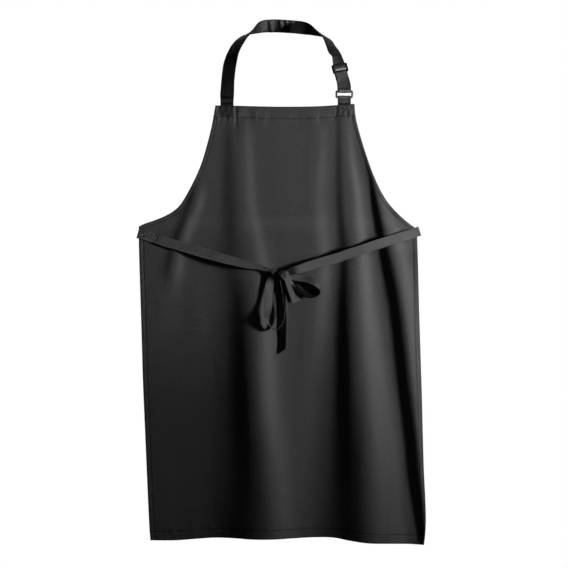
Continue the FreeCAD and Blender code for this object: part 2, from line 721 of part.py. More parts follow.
# (x, y, z, width), from the side edge to the knot
TIE_LEFT = [
    (-285.0, -0.85, -255.2, 18.6), (-266, -2.6, -260.6, 18.6), (-231.3, -6.0, -271.8, 19),
    (-188, -9.5, -285.0, 19), (-144.9, -13.0, -298.5, 19), (-98, -16.6, -311.0, 18.5),
    (-53.9, -19.5, -322.0, 16), (-33, -21.0, -327.3, 12), (-17.4, -22.0, -331.6, 9)]
TIE_RIGHT = [
    (258.2, -0.85, -253.6, 18.0), (249.5, -2.1, -256.0, 18.6), (238, -4.6, -259.2, 19),
    (223, -8.8, -263.4, 19), (208, -11.2, -267.8, 19), (188, -12.4, -274.0, 19),
    (135.8, -15.2, -291.2, 19), (82, -18.4, -308.0, 19), (29.7, -21.0, -324.1, 18),
    (14.5, -22.0, -328.6, 9)]


def waist_tie(stations, side):
    rows = catmull([(x, y, z, 0, width) for x, y, z, width in stations], 4)
    sections = turned_sections(rows)
    # the first section is square to the side edge, so that it meets the sewn end
    sections[0] = reaimed(sections[0], V(0, 0, -side), V(0, -1, 0))
    return tape(sections, TIE_T)


def tie_sewn_end(corner, side):
    """Tape end behind the side hem, folded round the side edge to the front."""
    edge_x, middle_z = corner
    back_inner = SECOND_LAYER_Y + 0.04
    back_outer = back_inner + TIE_T
    front_inner = -0.25
    front_outer = front_inner - TIE_T
    middle_y = (back_inner + front_inner) / 2
    inner_r = (back_inner - front_inner) / 2
    outer_r = inner_r + TIE_T
    fold_x = edge_x - side * 0.7
    front_end, back_end = edge_x + side * 3.2, edge_x + side * 26.0
    face = path_face(
        lambda x, y: V(x, y, middle_z - TIE_W / 2), (front_end, front_outer),
        [(fold_x, front_outer)],
        [(fold_x - side * outer_r, middle_y), (fold_x, back_outer)],
        [(back_end, back_outer)],
        [(back_end, back_inner)],
        [(fold_x, back_inner)],
        [(fold_x - side * inner_r, middle_y), (fold_x, front_inner)],
        [(front_end, front_inner)],
        [(front_end, front_outer)])
    return solid_of(face.extrude(V(0, 0, TIE_W)))


def tie_bar_tack(corner, side):
    """Two upright bars of stitching behind the sewn end."""
    x, middle_z = corner[0] + side * 20, corner[1]
    y = SECOND_LAYER_Y + TIE_T + 0.06
    return Part.Compound([
        Part.makeBox(0.8, 0.25, TIE_W - 5, V(x + shift, y, middle_z - TIE_W / 2 + 2.5))
        for shift in (-2.0, 1.2)])


# ------------------------------------------------------------------ bow
KNOT = V(-6.0, -22.0, -334.5)
KNOT_RADII = (9.4, 6.6, 9.2)

# Bow tables: (x, y from the knot's centre, z, width direction x, y, z, width)
# left loop: hangs down, its front strand faces the viewer, its back strand is seen on edge
LOOP_LEFT = [
    (KNOT.x - 8.5, -3.5, KNOT.z - 9.0, 0.95, 0.1, 0.2, 10),
    (-25.5, -6.0, -349, 0.97, 0.25, 0.1, 15), (-32.0, -8.5, -372, 0.97, 0.25, 0.0, 17.5),
    (-35.5, -9.0, -396, 0.9, 0.45, 0.0, 18.5), (-33.5, -8.5, -418, 0.62, 0.78, -0.1, 19),
    (-26.5, -7.5, -434, 0.25, 0.97, 0, 19), (-16.5, -6.5, -441, 0.0, 1.0, 0.0, 19),
    (-7.5, -6.0, -434, -0.1, 0.99, 0.0, 19), (-1.5, -6.0, -418, -0.12, 0.99, 0, 18.5),
    (0.5, -6.0, -398, -0.12, 0.99, 0, 17.5), (-2.2, -5.2, -374, -0.1, 0.99, 0, 15),
    (-5.0, -4.0, -352, -0.05, 0.99, 0, 11.5), (-7.0, -2.6, KNOT.z - 10.8, 0.0, 1.0, 0, 8)]
# right loop: runs to the right, its opening faces the viewer
LOOP_RIGHT = [
    (KNOT.x + 10.6, -1.0, KNOT.z - 0.5, -0.25, 0.55, 0.8, 8),
    (24.0, -2.0, -338, -0.2, 0.68, 0.7, 13), (40.0, -2.5, -341.0, -0.1, 0.8, 0.55, 17),
    (54, -3.0, -347.5, 0.0, 0.88, 0.45, 18.5), (65, -3.0, -357, 0.1, 0.95, 0.2, 19),
    (68.5, -2.5, -368, 0.05, 1.0, 0.0, 19), (61, -2.0, -377, 0.0, 1.0, -0.05, 19),
    (47, -1.0, -380, 0.0, 1.0, -0.1, 18.5), (32, -0.2, -373, 0.0, 1.0, -0.15, 17),
    (18, 0.4, -359, 0.0, 1.0, -0.2, 14), (KNOT.x + 9.2, 0.6, KNOT.z - 8.2, 0.0, 1.0, -0.2, 9)]
# long tail: hangs behind the left loop
TAIL_LONG = [
    (KNOT.x + 1.0, 4.6, KNOT.z - 9.6, 0.9, -0.3, 0, 9),
    (KNOT.x + 2.5, 7.2, -356, 0.93, -0.35, 0, 13), (-4.0, 8.5, -385, 0.9, -0.42, 0, 17),
    (-3.6, 8.6, -415, 0.88, -0.46, 0, 19), (-4.2, 8.4, -445, 0.88, -0.46, 0, 19),
    (-4.7, 8.1, -470, 0.88, -0.46, 0, 19), (-5.02, 7.91, -486, 0.88, -0.46, 0, 19)]
# short tail: falls to the right, in front of the right loop
TAIL_SHORT = [
    (KNOT.x + 5.6, -7.9, KNOT.z - 5.4, 0.93, 0.0, 0.3, 12),
    (7.6, -15.0, -352, 0.92, 0.05, 0.38, 16), (14.4, -16.8, -368, 0.92, 0.05, 0.38, 18.6),
    (21.4, -17.8, -384.5, 0.92, 0.05, 0.38, 19)]

TAIL_HEM_START = 8.5     # from the tail's tip back to the start of its hem


def bow_knot():
    stretch = FreeCAD.Matrix()
    stretch.scale(*KNOT_RADII)
    knot = Part.makeSphere(1.0).transformGeometry(stretch)
    knot.translate(KNOT)
    return solid_of(knot)


def bow_rows(table):
    return [(row[0], KNOT.y + row[1], *row[2:]) for row in table]


def bow_strand(table):
    return tape(directed_sections(catmull(bow_rows(table), 5)), TIE_T)


def on_tail_end(table, shape, depth):
    """Place a shape near the tip of a tail, depth behind the middle of the tape."""
    rows = bow_rows(table)
    tip = V(*rows[-1][:3])
    along = (tip - V(*rows[-2][:3])).normalize()
    across = square_across(along, V(*rows[-1][3:6]))
    back = across.cross(along)
    origin = tip + back * depth - along * TAIL_HEM_START
    return solid_of(local(shape, origin, across, along, back))


def tail_hem(table):
    """Second layer behind the tail's tip."""
    box = Part.makeBox(TIE_W, 8.0, 0.8, V(-TIE_W / 2, 0, 0))
    return on_tail_end(table, box, TIE_T / 2 + 0.15)


def tail_seam(table):
    """Line of stitching across the front of the tail."""
    length = TIE_W - 3
    thread = Part.makeBox(length, 0.45, 0.22, V(-length / 2, 1.3, 0.0))
    return on_tail_end(table, thread, -(TIE_T / 2 + 0.34))


# ------------------------------------------------------------------ output
pieces = {
    "main_panel": cut_layer(0.0, CLOTH_T, PANEL_AREA, (-300, 300, -885, 10)),
    "top_hem": top_hem(),
    "armhole_hem_left": armhole_hem(ARM_LEFT, LEFT, (-300, -120, -245, 10)),
    "armhole_hem_right": armhole_hem(ARM_RIGHT, RIGHT, (120, 290, -250, 10)),
    "side_hem_left": side_hem(SIDE_LEFT, LEFT, 0.4, (-300, -250, -880, -235)),
    "side_hem_right": side_hem(SIDE_RIGHT, RIGHT, 2.5, (245, 290, -885, -240)),
    "bottom_hem": bottom_hem(),
    "top_hem_seam": seam(TOP_SEAM),
    "armhole_seams": edge_seams(ARM_LEFT, ARM_RIGHT, ARM_HEM_W, 2),
    "side_seams": edge_seams(SIDE_LEFT, SIDE_RIGHT, SIDE_HEM_W, 1),
    "bottom_hem_seam": bottom_hem_seam(),
    "neck_strap_sewn_end": sewn_end(STRAP_X, STRAP_T, FOLD_Z - 2.0, (-140, -90, -40, 14)),
    "ring_tab_sewn_end": sewn_end(RING_X, 2 * STRAP_T, FOLD_Z - 2.7, (95, 140, -40, 14)),
    "neck_strap_box_stitch": box_stitch(STRAP_X, -3.5),
    "ring_tab_box_stitch": box_stitch(RING_X, -1.0),
    "strap_ring": strap_ring(),
    "ring_tab_loop": ring_tab_loop(),
    "neck_strap_ring_fold": neck_strap_ring_fold(),
    "neck_strap": neck_strap(),
    "neck_strap_return": neck_strap_return(),
    "strap_slider": solid_of(on_slider(slider_body())),
    "strap_end_loop": strap_end_loop(),
    "strap_end_stitching": strap_end_stitching(),
    "bow_knot": bow_knot(),
    "bow_loop_left": bow_strand(LOOP_LEFT),
    "bow_loop_right": bow_strand(LOOP_RIGHT),
}
for name, stations, corner, side in (("tie_left", TIE_LEFT, LEFT_CORNER, LEFT),
                                     ("tie_right", TIE_RIGHT, RIGHT_CORNER, RIGHT)):
    pieces[name] = waist_tie(stations, side)
    pieces[name + "_sewn_end"] = tie_sewn_end(corner, side)
    pieces[name + "_bar_tack"] = tie_bar_tack(corner, side)
for name, table in (("bow_tail_long", TAIL_LONG), ("bow_tail_short", TAIL_SHORT)):
    pieces[name] = bow_strand(table)
    pieces[name + "_hem"] = tail_hem(table)
    pieces[name + "_seam"] = tail_seam(table)

os.makedirs("parts", exist_ok=True)
for name, piece in pieces.items():
    shape = piece.copy()
    shape.translate(HANG * -1.0)
    shape.exportStep(os.path.join("parts", name + ".step"))
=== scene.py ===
# A black bib apron hanging by its neck loop: one hemmed panel, a neck strap with a ring and a
# slider, and two waist ties knotted in a bow at the front.
# The drawing is in millimetres: x to the viewer's right, y away from the viewer, z up, zero at
# the middle of the bib's top edge. Left and right are the viewer's. The scene is in metres.
import math
from collections import namedtuple
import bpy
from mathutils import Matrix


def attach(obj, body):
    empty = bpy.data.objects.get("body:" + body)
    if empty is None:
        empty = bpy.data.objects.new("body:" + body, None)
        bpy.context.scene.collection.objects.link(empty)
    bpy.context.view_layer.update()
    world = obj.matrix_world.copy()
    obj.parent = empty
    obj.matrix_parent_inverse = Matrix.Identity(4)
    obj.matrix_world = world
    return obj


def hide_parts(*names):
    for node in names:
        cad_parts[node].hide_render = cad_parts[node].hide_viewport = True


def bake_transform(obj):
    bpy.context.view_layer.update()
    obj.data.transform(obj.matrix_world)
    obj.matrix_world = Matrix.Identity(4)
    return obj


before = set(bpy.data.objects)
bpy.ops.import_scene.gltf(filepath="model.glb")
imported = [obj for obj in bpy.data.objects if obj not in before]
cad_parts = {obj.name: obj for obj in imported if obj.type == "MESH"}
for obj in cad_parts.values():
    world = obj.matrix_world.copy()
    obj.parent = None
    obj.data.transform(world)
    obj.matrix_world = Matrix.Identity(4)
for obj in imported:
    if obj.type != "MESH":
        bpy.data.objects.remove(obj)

from types import SimpleNamespace

import bpy
import numpy as np
from mathutils import Vector

scene = bpy.context.scene
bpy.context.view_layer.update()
SHIFT = np.array([8.0, -92.0, -142.0])   # from the drawing's zero to the scene's

# ----------------------------------------------------------------- driving sizes (mm)
PANEL_DROP = 861.0
CLOTH_T, HEM_T = 0.9, 0.85               # the cloth, and what a turned hem adds to it
TOP_HEM, ARM_HEM, SIDE_HEM, BOTTOM_HEM = 24.6, 9.0, 11.0, 20.0
# distance of each line of stitching from its edge
TOP_SEAM, ARM_SEAM = TOP_HEM - 1.6, ARM_HEM - 2.0
SIDE_SEAM, BOTTOM_SEAM = SIDE_HEM - 2.0, BOTTOM_HEM - 2.0

STRAP_W, TAPE_W, TAPE_T = 26.0, 19.0, 1.0
STRAP_X, RING_X = -114.9, 117.4          # middles of the neck strap's end and of the ring tab
BOX_HALF, BOX_LOW, BOX_TOP = 9.7, -19.0, -3.5   # the box of stitching over each of them
PAD_LOW = -22.0                          # lower end of the webbing sewn on behind

# ----------------------------------------------------------------- panel outline: (x, z)
TOP_EDGE = [(-138.0, 0.2), (-100, -0.4), (-50, -1.6), (0, -2.4), (70, -1.2), (110, 1.4),
            (137.8, 3.2)]
ARM_LEFT = [
    (-138.0, 0.2), (-140.2, -12.9), (-142.8, -28.7), (-146.0, -44.6), (-149.8, -60.4),
    (-154.0, -76.2), (-158.4, -92.1), (-163.2, -107.9), (-169.0, -123.8), (-175.8, -139.6),
    (-183.5, -155.4), (-191.9, -171.3), (-201.0, -187.1), (-209.0, -198.4), (-222.0, -209.9),
    (-240.4, -220.0), (-260.8, -228.1), (-279.0, -234.4), (-289.5, -239.6)]
SIDE_LEFT = [
    (-289.5, -239.6), (-289.6, -266.3), (-287.9, -329.7), (-285.9, -393.0), (-283.5, -472.2),
    (-281.2, -551.4), (-277.8, -630.6), (-274.4, -709.8), (-270.9, -789.0), (-268.3, -840.5),
    (-266.5, -861.0)]
BOTTOM = [
    (-266.5, -861.0), (-217.6, -861.1), (-177.2, -858.3), (-136.8, -855.8), (-100.4, -857.0),
    (-64.0, -859.5), (-23.8, -859.5), (16.8, -857.1), (57.2, -855.0), (97.6, -855.8),
    (129.9, -862.0), (166.3, -867.0), (210.7, -867.8), (251.1, -868.4), (275.2, -870.2)]
SIDE_RIGHT = [
    (261.6, -245.5), (262.6, -286.1), (263.9, -329.7), (265.3, -393.0), (267.3, -456.4),
    (269.3, -519.8), (271.3, -583.1), (272.8, -646.5), (275.2, -725.7), (277.6, -773.2),
    (279.0, -820.7), (277.6, -850.0), (275.2, -870.2)]
ARM_RIGHT = [
    (137.8, 3.2), (138.8, -12.9), (141.2, -28.7), (144.9, -44.6), (149.3, -60.4),
    (154.0, -76.2), (159.0, -92.1), (164.3, -107.9), (169.9, -123.8), (176.0, -139.6),
    (183.0, -155.4), (190.9, -171.3), (200.4, -187.1), (212.9, -203.0), (228.3, -218.8),
    (243.5, -231.8), (255.4, -240.8), (261.6, -245.5)]

# ----------------------------------------------------------------- folds of the hanging cloth
# Each fold flank runs down the cloth: (z, centre x, rise towards the viewer, half-width)
FLANKS = [
    [(20, -150, 0, 8), (-140, -176, 0.0, 6), (-187, -188, 3.2, 5), (-235, -206, 3.6, 6),
     (-310, -232, 3.4, 7), (-380, -240, 0, 10), (-900, -240, 0, 10)],
    [(20, -130, 0, 8), (-140, -158, 0.0, 6), (-187, -166, -3.0, 8), (-235, -184, -3.4, 9),
     (-310, -208, -4.4, 9), (-400, -215, -1.5, 16), (-560, -200, -3.0, 40),
     (-900, -190, -6.0, 50)],
    [(20, -113, 0.3, 10), (-25, -113, 1.2, 10), (-70, -113, 4.0, 11), (-187, -111, 6.5, 14),
     (-310, -106, 8.0, 18), (-400, -92, 14, 18), (-560, -85, 22, 22), (-700, -80, 28, 28),
     (-900, -92, 34, 38)],
    [(20, -74, -0.2, 9), (-25, -74, -0.8, 9), (-70, -73, -2.4, 9), (-187, -66, -4.0, 11),
     (-310, -44, -7.0, 14), (-400, -36, -12, 15), (-560, -30, -13, 18), (-700, -14, -12, 22),
     (-900, 8, -11, 26)],
    [(20, 72, -0.1, 9), (-70, 76, -1.8, 9), (-187, 70, -3.6, 12), (-310, 80, -6.5, 13),
     (-400, 76, -5.0, 16), (-560, 56, -5.0, 22), (-900, 50, -4.0, 30)],
    [(20, 106, 0.1, 6), (-70, 106, 2.4, 6), (-187, 108, 4.5, 7), (-310, 117, 10, 10),
     (-400, 116, 17, 13), (-560, 119, 26, 18), (-700, 118, 34, 25), (-900, 119, 40, 33)],
    [(20, 126, -0.1, 7), (-70, 130, -2.8, 7), (-187, 146, -7.0, 9), (-310, 158, -12.5, 12),
     (-400, 166, -17, 14), (-560, 184, -22, 17), (-700, 200, -23, 19), (-900, 216, -22, 22)],
    [(20, 150, 0, 5), (-70, 154, 0.8, 5), (-110, 161, 2.5, 5), (-150, 170, 5.5, 4.6),
     (-187, 177, 8.2, 5), (-235, 186, 10.5, 6), (-310, 202, 14, 8), (-400, 219, 16, 10),
     (-560, 237, 18, 10), (-610, 243.5, 18.5, 10), (-662, 250.5, 19, 10),
     (-722, 255.5, 19, 10), (-781, 263.5, 18, 9), (-830, 270, 16, 7.5), (-900, 278, 12, 7)],
    [(20, 160, 0, 5), (-70, 164, -0.6, 5), (-187, 195, -5, 7), (-235, 212, -8, 10),
     (-310, 236, -12, 13), (-400, 250, -13, 12), (-560, 264, -12, 8), (-662, 270, -11, 6),
     (-722, 273.5, -9, 5), (-781, 276.5, -6, 4), (-830, 279, -4, 4), (-900, 281, -3, 4)],
]
# Smaller folds, with the same columns
CREASES = [
    # pull from the neck strap's box of stitching
    [(4, -99.5, 0.0, 2.0), (-3, -99.3, -1.2, 2.0), (-26, -98.8, -1.4, 2.2),
     (-52, -98.6, -0.3, 4), (-90, -98, 0, 6), (-900, -98, 0, 6)],
    [(4, -95.2, 0.0, 2.0), (-5, -95.0, 1.3, 2.0), (-32, -94.6, 1.6, 2.3),
     (-60, -94.0, 0.3, 4), (-90, -94, 0, 6), (-900, -94, 0, 6)],
    # ripples low on the right
    [(-640, 200, 0, 6), (-740, 208, 1.6, 6), (-800, 206, 2.8, 6), (-870, 202, 3.4, 7),
     (-900, 202, 3.4, 7)],
    [(-640, 214, 0, 5), (-740, 220, -1.6, 5), (-800, 224, -2.8, 5), (-870, 232, -3.4, 5),
     (-900, 232, -3.4, 5)],
    # the skirt's left half falls back towards the side
    [(-230, -112, 0, 46), (-330, -112, 4, 46), (-400, -112, 9, 46), (-560, -114, 14, 48),
     (-900, -116, 17, 50)],
    # a shallow fold on the left of the skirt
    [(-330, -196, 0, 16), (-420, -200, 1.2, 18), (-620, -196, 2.0, 24), (-900, -186, 2.0, 28)],
    [(-330, -160, 0, 16), (-420, -158, -1.4, 18), (-620, -150, -2.0, 24),
     (-900, -142, -2.0, 28)],
]
FOLD_TOP_Z = 20.0
FOLD_Z = np.arange(FOLD_TOP_Z, -901.0, -1.0)   # the tables are read off once a millimetre


# ----------------------------------------------------------------- curves and falloffs
def ramp(t):
    """Smooth step from 0 to 1."""
    t = np.clip(t, 0.0, 1.0)
    return t * t * (3 - 2 * t)


def bell(value, centre, width):
    return np.exp(-((value - centre) / width) ** 2)


def unit(vectors):
    return vectors / np.linalg.norm(vectors, axis=-1, keepdims=True)


def run_length(points):
    """Distance covered up to each point."""
    return np.concatenate([[0], np.cumsum(np.linalg.norm(np.diff(points, axis=0), axis=1))])


def monotone(rows, z):
    """The columns after z of a table sorted by falling z, joined without overshoot."""
    if z >= rows[0][0]:
        return rows[0][1:]
    if z <= rows[-1][0]:
        return rows[-1][1:]
    i = next(i for i in range(len(rows) - 1) if rows[i + 1][0] <= z <= rows[i][0])
    here, after = rows[i], rows[i + 1]
    before = rows[i - 1] if i > 0 else None
    beyond = rows[i + 2] if i + 2 < len(rows) else None
    span = after[0] - here[0]
    t = (z - here[0]) / span
    t2, t3 = t * t, t * t * t

    def tangent(slope, other):
        return 0.0 if other * slope <= 0 else 2 * other * slope / (other + slope)

    out = []
    for k in range(1, len(here)):
        slope = (after[k] - here[k]) / span
        slope_in = (here[k] - before[k]) / (here[0] - before[0]) if before else slope
        slope_out = (beyond[k] - after[k]) / (beyond[0] - after[0]) if beyond else slope
        out.append((2 * t3 - 3 * t2 + 1) * here[k]
                   + (t3 - 2 * t2 + t) * span * tangent(slope, slope_in)
                   + (-2 * t3 + 3 * t2) * after[k]
                   + (t3 - t2) * span * tangent(slope, slope_out))
    return tuple(out)


def catmull(rows, step):
    """Centripetal spline through rows whose first three numbers are a place, about step apart."""
    rows = [np.array(row, float) for row in rows]
    ext = [2 * rows[0] - rows[1]] + rows + [2 * rows[-1] - rows[-2]]
    out = []
    for i in range(1, len(ext) - 2):
        p = ext[i - 1:i + 3]
        knots = [0.0]
        for k in range(3):
            gap = max(1e-6, np.linalg.norm(p[k + 1][:3] - p[k][:3]))
            knots.append(knots[-1] + gap ** 0.5)
        count = max(1, int(math.ceil(np.linalg.norm(p[2][:3] - p[1][:3]) / step)))
        for s in range(count):
            t = knots[1] + (knots[2] - knots[1]) * s / count
            level = p
            for order in (1, 2):
                # the last two levels share the middle span
                reach = [(k, k + order) for k in range(4 - order)]
                level = [((knots[b] - t) * level[k] + (t - knots[a]) * level[k + 1])
                         / (knots[b] - knots[a]) for k, (a, b) in enumerate(reach)]
            out.append(((knots[2] - t) * level[0] + (t - knots[1]) * level[1])
                       / (knots[2] - knots[1]))
    out.append(rows[-1])
    return np.array(out)


def planar(points, step=1.0):
    """Dense curve through (x, z) points, as a row of x and a row of z."""
    return catmull([(x, 0.0, z) for x, z in points], step)[:, [0, 2]].T


def field(u, v, length_u, length_v, seed):
    """Smooth random relief of unit size with typical lengths length_u and length_v."""
    waves = 26
    rng = np.random.default_rng(seed)
    out = np.zeros_like(u, dtype=float)
    for _ in range(waves):
        angle = rng.uniform(0, 2 * math.pi)
        rate = rng.uniform(0.55, 1.45)
        out += np.cos(2 * math.pi * rate * (math.cos(angle) * u / length_u
                                            + math.sin(angle) * v / length_v)
                      + rng.uniform(0, 2 * math.pi))
    return out * math.sqrt(2.0 / waves)


def constant(value):
    return lambda u, v: value


def place(x, y, z):
    """A place in the drawing, in scene metres."""
    return tuple((np.array([x, y, z]) + SHIFT) / 1000.0)


# ----------------------------------------------------------------- the cloth's fall
FOLDS = [np.array([monotone(rows, z) for z in FOLD_Z]) for rows in FLANKS + CREASES]


def fold_sum(x, z):
    i = np.clip(FOLD_TOP_Z - z, 0, len(FOLD_Z) - 1.001)
    k = i.astype(int)
    part = i - k
    total = np.zeros_like(x)
    for fold in FOLDS:
        centre, rise, width = (fold[k] * (1 - part)[..., None]
                               + fold[k + 1] * part[..., None]).transpose(-1, *range(k.ndim))
        total += 0.5 * rise * np.tanh((x - centre) / width)
    return total


def drape(x, z):
    """Depth y of the folded cloth, with both side edges held at zero."""
    x, z = np.asarray(x, float), np.asarray(z, float)
    flare = ramp(-z / 250.0)
    left = np.where(z < -250, -289 + 22 * (-250 - z) / 611, -138 - 151 * flare)
    right = np.where(z < -250, 262 + 16 * (-250 - z) / 620, 138 + 124 * flare)
    fold_left, fold_right = fold_sum(left, z), fold_sum(right, z)
    t = np.clip((x - left) / (right - left), -0.3, 1.3)
    # the corners where the ties are sewn on stay flat
    flat = ((ramp((x - 222) / 13) + ramp((-244 - x) / 13))
            * ramp((-229 - z) / 9) * ramp((z + 278) / 12))
    return -(fold_sum(x, z) - (fold_left + (fold_right - fold_left) * t)) * (1 - flat)


# ----------------------------------------------------------------- node materials
class NodeTree:
    """The emptied node tree of a material or world, with an output node."""

    def __init__(self, owner, output="ShaderNodeOutputMaterial"):
        owner.use_nodes = True
        self.tree = owner.node_tree
        self.tree.nodes.clear()
        self.output = self.node(output)

    def node(self, kind, **settings):
        node = self.tree.nodes.new(kind)
        for key, value in settings.items():
            setattr(node, key, value)
        return node

    def feed(self, value, socket):
        if isinstance(value, (int, float, tuple)):
            socket.default_value = value
        else:
            self.tree.links.new(value, socket)

    def math(self, operation, *values):
        node = self.node("ShaderNodeMath", operation=operation)
        for i, value in enumerate(values):
            self.feed(value, node.inputs[i])
        return node.outputs[0]

    def weigh(self, a, a_weight, b, b_weight):
        return self.math("ADD", self.math("MULTIPLY", a, a_weight),
                         self.math("MULTIPLY", b, b_weight))

    def add_scaled(self, base, extra, weight):
        return self.math("ADD", base, self.math("MULTIPLY", extra, weight))

    def noise(self, vector, scale=1.0, detail=3.0, rough=0.6, stretch=None):
        if stretch:
            node = self.node("ShaderNodeVectorMath", operation="MULTIPLY")
            self.feed(vector, node.inputs[0])
            self.feed(stretch, node.inputs[1])
            vector = node.outputs[0]
        node = self.node("ShaderNodeTexNoise")
        self.feed(scale, node.inputs["Scale"])
        self.feed(detail, node.inputs["Detail"])
        self.feed(rough, node.inputs["Roughness"])
        self.feed(vector, node.inputs["Vector"])
        return node.outputs[0]

    def mix_colour(self, factor, dark, light):
        node = self.node("ShaderNodeMix", data_type="RGBA")
        node.inputs["A"].default_value = (*dark, 1)
        node.inputs["B"].default_value = (*light, 1)
        self.feed(factor, node.inputs["Factor"])
        return node.outputs["Result"]

    def bump(self, height, distance, strength):
        node = self.node("ShaderNodeBump")
        self.feed(strength, node.inputs["Strength"])
        self.feed(distance, node.inputs["Distance"])
        self.feed(height, node.inputs["Height"])
        return node.outputs[0]


class Principled(NodeTree):
    def __init__(self, name):
        self.material = bpy.data.materials.new(name)
        super().__init__(self.material)
        self.bsdf = self.node("ShaderNodeBsdfPrincipled")
        self.feed(self.bsdf.outputs[0], self.output.inputs[0])

    def set(self, values):
        for key, value in values.items():
            self.feed(value, self.bsdf.inputs[key])

    def uv_axes(self):
        """The millimetre UVs whole, then u and v."""
        uv = self.node("ShaderNodeUVMap", uv_map="mm")
        split = self.node("ShaderNodeSeparateXYZ")
        self.feed(uv.outputs[0], split.inputs[0])
        return uv.outputs[0], split.outputs[0], split.outputs[1]

    def toned(self, colour, specular):
        """Scales colour and highlight by the mesh's tone attribute, which holds painted light and
        shade.
        """
        tone = self.node("ShaderNodeAttribute", attribute_name="tone").outputs["Fac"]
        scaled = self.node("ShaderNodeVectorMath", operation="SCALE")
        self.feed(colour, scaled.inputs[0])
        self.feed(tone, scaled.inputs["Scale"])
        self.set({"Base Color": scaled.outputs[0],
                  "Specular IOR Level": self.math("MULTIPLY", tone, specular)})


def cloth_material(name, dark, light, depth, sheen, rough, specular):
    """Woven twill: u runs across and v along the warp, in millimetres."""
    pitch, slant = 0.62, 1.15
    shader = Principled(name)
    uv, u, v = shader.uv_axes()
    # diagonal twill rib, broken a little by the yarns that cross it
    diagonal = shader.weigh(u, 2 * math.pi / pitch, v, 2 * math.pi / (pitch * slant))
    rib = shader.math("SINE", diagonal)
    weft = shader.math("SINE", shader.math("MULTIPLY", v, 2 * math.pi / (pitch * 0.5)))
    weave = shader.math("MULTIPLY_ADD", shader.weigh(rib, 0.7, weft, 0.3), 0.5, 0.5)
    # uneven yarns: long thin streaks along warp and weft
    warp_streak = shader.noise(uv, stretch=(1.35, 0.045, 1))
    weft_streak = shader.noise(uv, stretch=(0.045, 1.35, 1))
    cloud = shader.noise(uv, rough=0.55, stretch=(0.02, 0.02, 1))
    streak = shader.weigh(warp_streak, 0.5, weft_streak, 0.5)
    tone = shader.weigh(weave, 0.42, streak, 0.5)
    tone = shader.add_scaled(tone, cloud, 0.25)
    grain = shader.noise(uv, detail=1.5, rough=0.5, stretch=(0.36, 0.36, 1))
    tone = shader.math("ADD", tone, shader.math("MULTIPLY_ADD", grain, 2.6, -1.3))
    tone = shader.math("SUBTRACT", tone, 0.12)
    shader.toned(shader.mix_colour(tone, dark, light), specular)
    shader.set({
        "Roughness": shader.math("MULTIPLY_ADD", streak, 0.12, rough - 0.06),
        "Sheen Weight": sheen,
        "Sheen Roughness": 0.45,
        "Sheen Tint": (0.75, 0.82, 0.95, 1),
        "Normal": shader.bump(shader.add_scaled(weave, streak, 0.9), depth, strength=0.9)})
    return shader.material


def tape_material(name):
    """Chevron twill tape, mirrored about its middle, with darker edges: v runs along it."""
    pitch, yarn_pitch, half, edge_band = 5.2, 0.55, TAPE_W / 2, 1.3
    specular = 0.8
    shader = Principled(name)
    uv, u, v = shader.uv_axes()
    from_middle = shader.math("ABSOLUTE", u)
    zigzag = shader.math("PINGPONG", from_middle, half)
    phase = shader.weigh(v, 2 * math.pi / pitch, zigzag, 2 * math.pi / (pitch * 1.1))
    rib = shader.math("MULTIPLY_ADD", shader.math("SINE", phase), 0.5, 0.5)
    yarn_wave = shader.math("SINE", shader.math("MULTIPLY", u, 2 * math.pi / yarn_pitch))
    yarn = shader.math("MULTIPLY_ADD", yarn_wave, 0.5, 0.5)
    grain = shader.noise(uv, stretch=(0.9, 0.9, 1))
    edge = shader.math("GREATER_THAN", from_middle, half - edge_band)
    tone = shader.weigh(rib, 0.5, grain, 0.55)
    tone = shader.math("SUBTRACT", tone, shader.math("MULTIPLY", edge, 0.12))
    colour = shader.mix_colour(tone, dark=(0.008, 0.008, 0.0085), light=(0.020, 0.0205, 0.022))
    shader.toned(colour, specular)
    height = shader.weigh(rib, 1.0, yarn, 0.35)
    height = shader.add_scaled(height, grain, 0.5)
    shader.set({
        "Roughness": 0.5,
        "Sheen Weight": 0.05,
        "Sheen Roughness": 0.4,
        "Sheen Tint": (0.8, 0.86, 0.95, 1),
        "Normal": shader.bump(height, distance=0.0007, strength=1.0)})
    return shader.material


def thread_material(name):
    shader = Principled(name)
    place_in_object = shader.node("ShaderNodeTexCoord").outputs["Object"]
    fuzz = shader.noise(place_in_object, scale=900.0, detail=2.0, rough=0.5)
    shader.set({
        "Base Color": shader.mix_colour(fuzz, dark=(0.006, 0.006, 0.0065),
                                        light=(0.016, 0.0165, 0.018)),
        "Roughness": 0.6,
        "Specular IOR Level": 0.2,
        "Normal": shader.bump(fuzz, distance=0.00006, strength=0.6)})
    return shader.material


def plastic_material(name):
    shader = Principled(name)
    place_in_object = shader.node("ShaderNodeTexCoord").outputs["Object"]
    grain = shader.noise(place_in_object, scale=260.0, detail=4.0, rough=0.6)
    scuff = shader.noise(place_in_object, scale=60.0, detail=5.0, rough=0.7)
    shader.set({
        "Base Color": shader.mix_colour(scuff, dark=(0.004, 0.004, 0.0045),
                                        light=(0.010, 0.010, 0.011)),
        "Roughness": shader.math("MULTIPLY_ADD", scuff, 0.14, 0.2),
        "Specular IOR Level": 0.35,
        "Coat Weight": 0.05,
        "Coat Roughness": 0.15,
        "Normal": shader.bump(grain, distance=0.00004, strength=0.35)})
    return shader.material


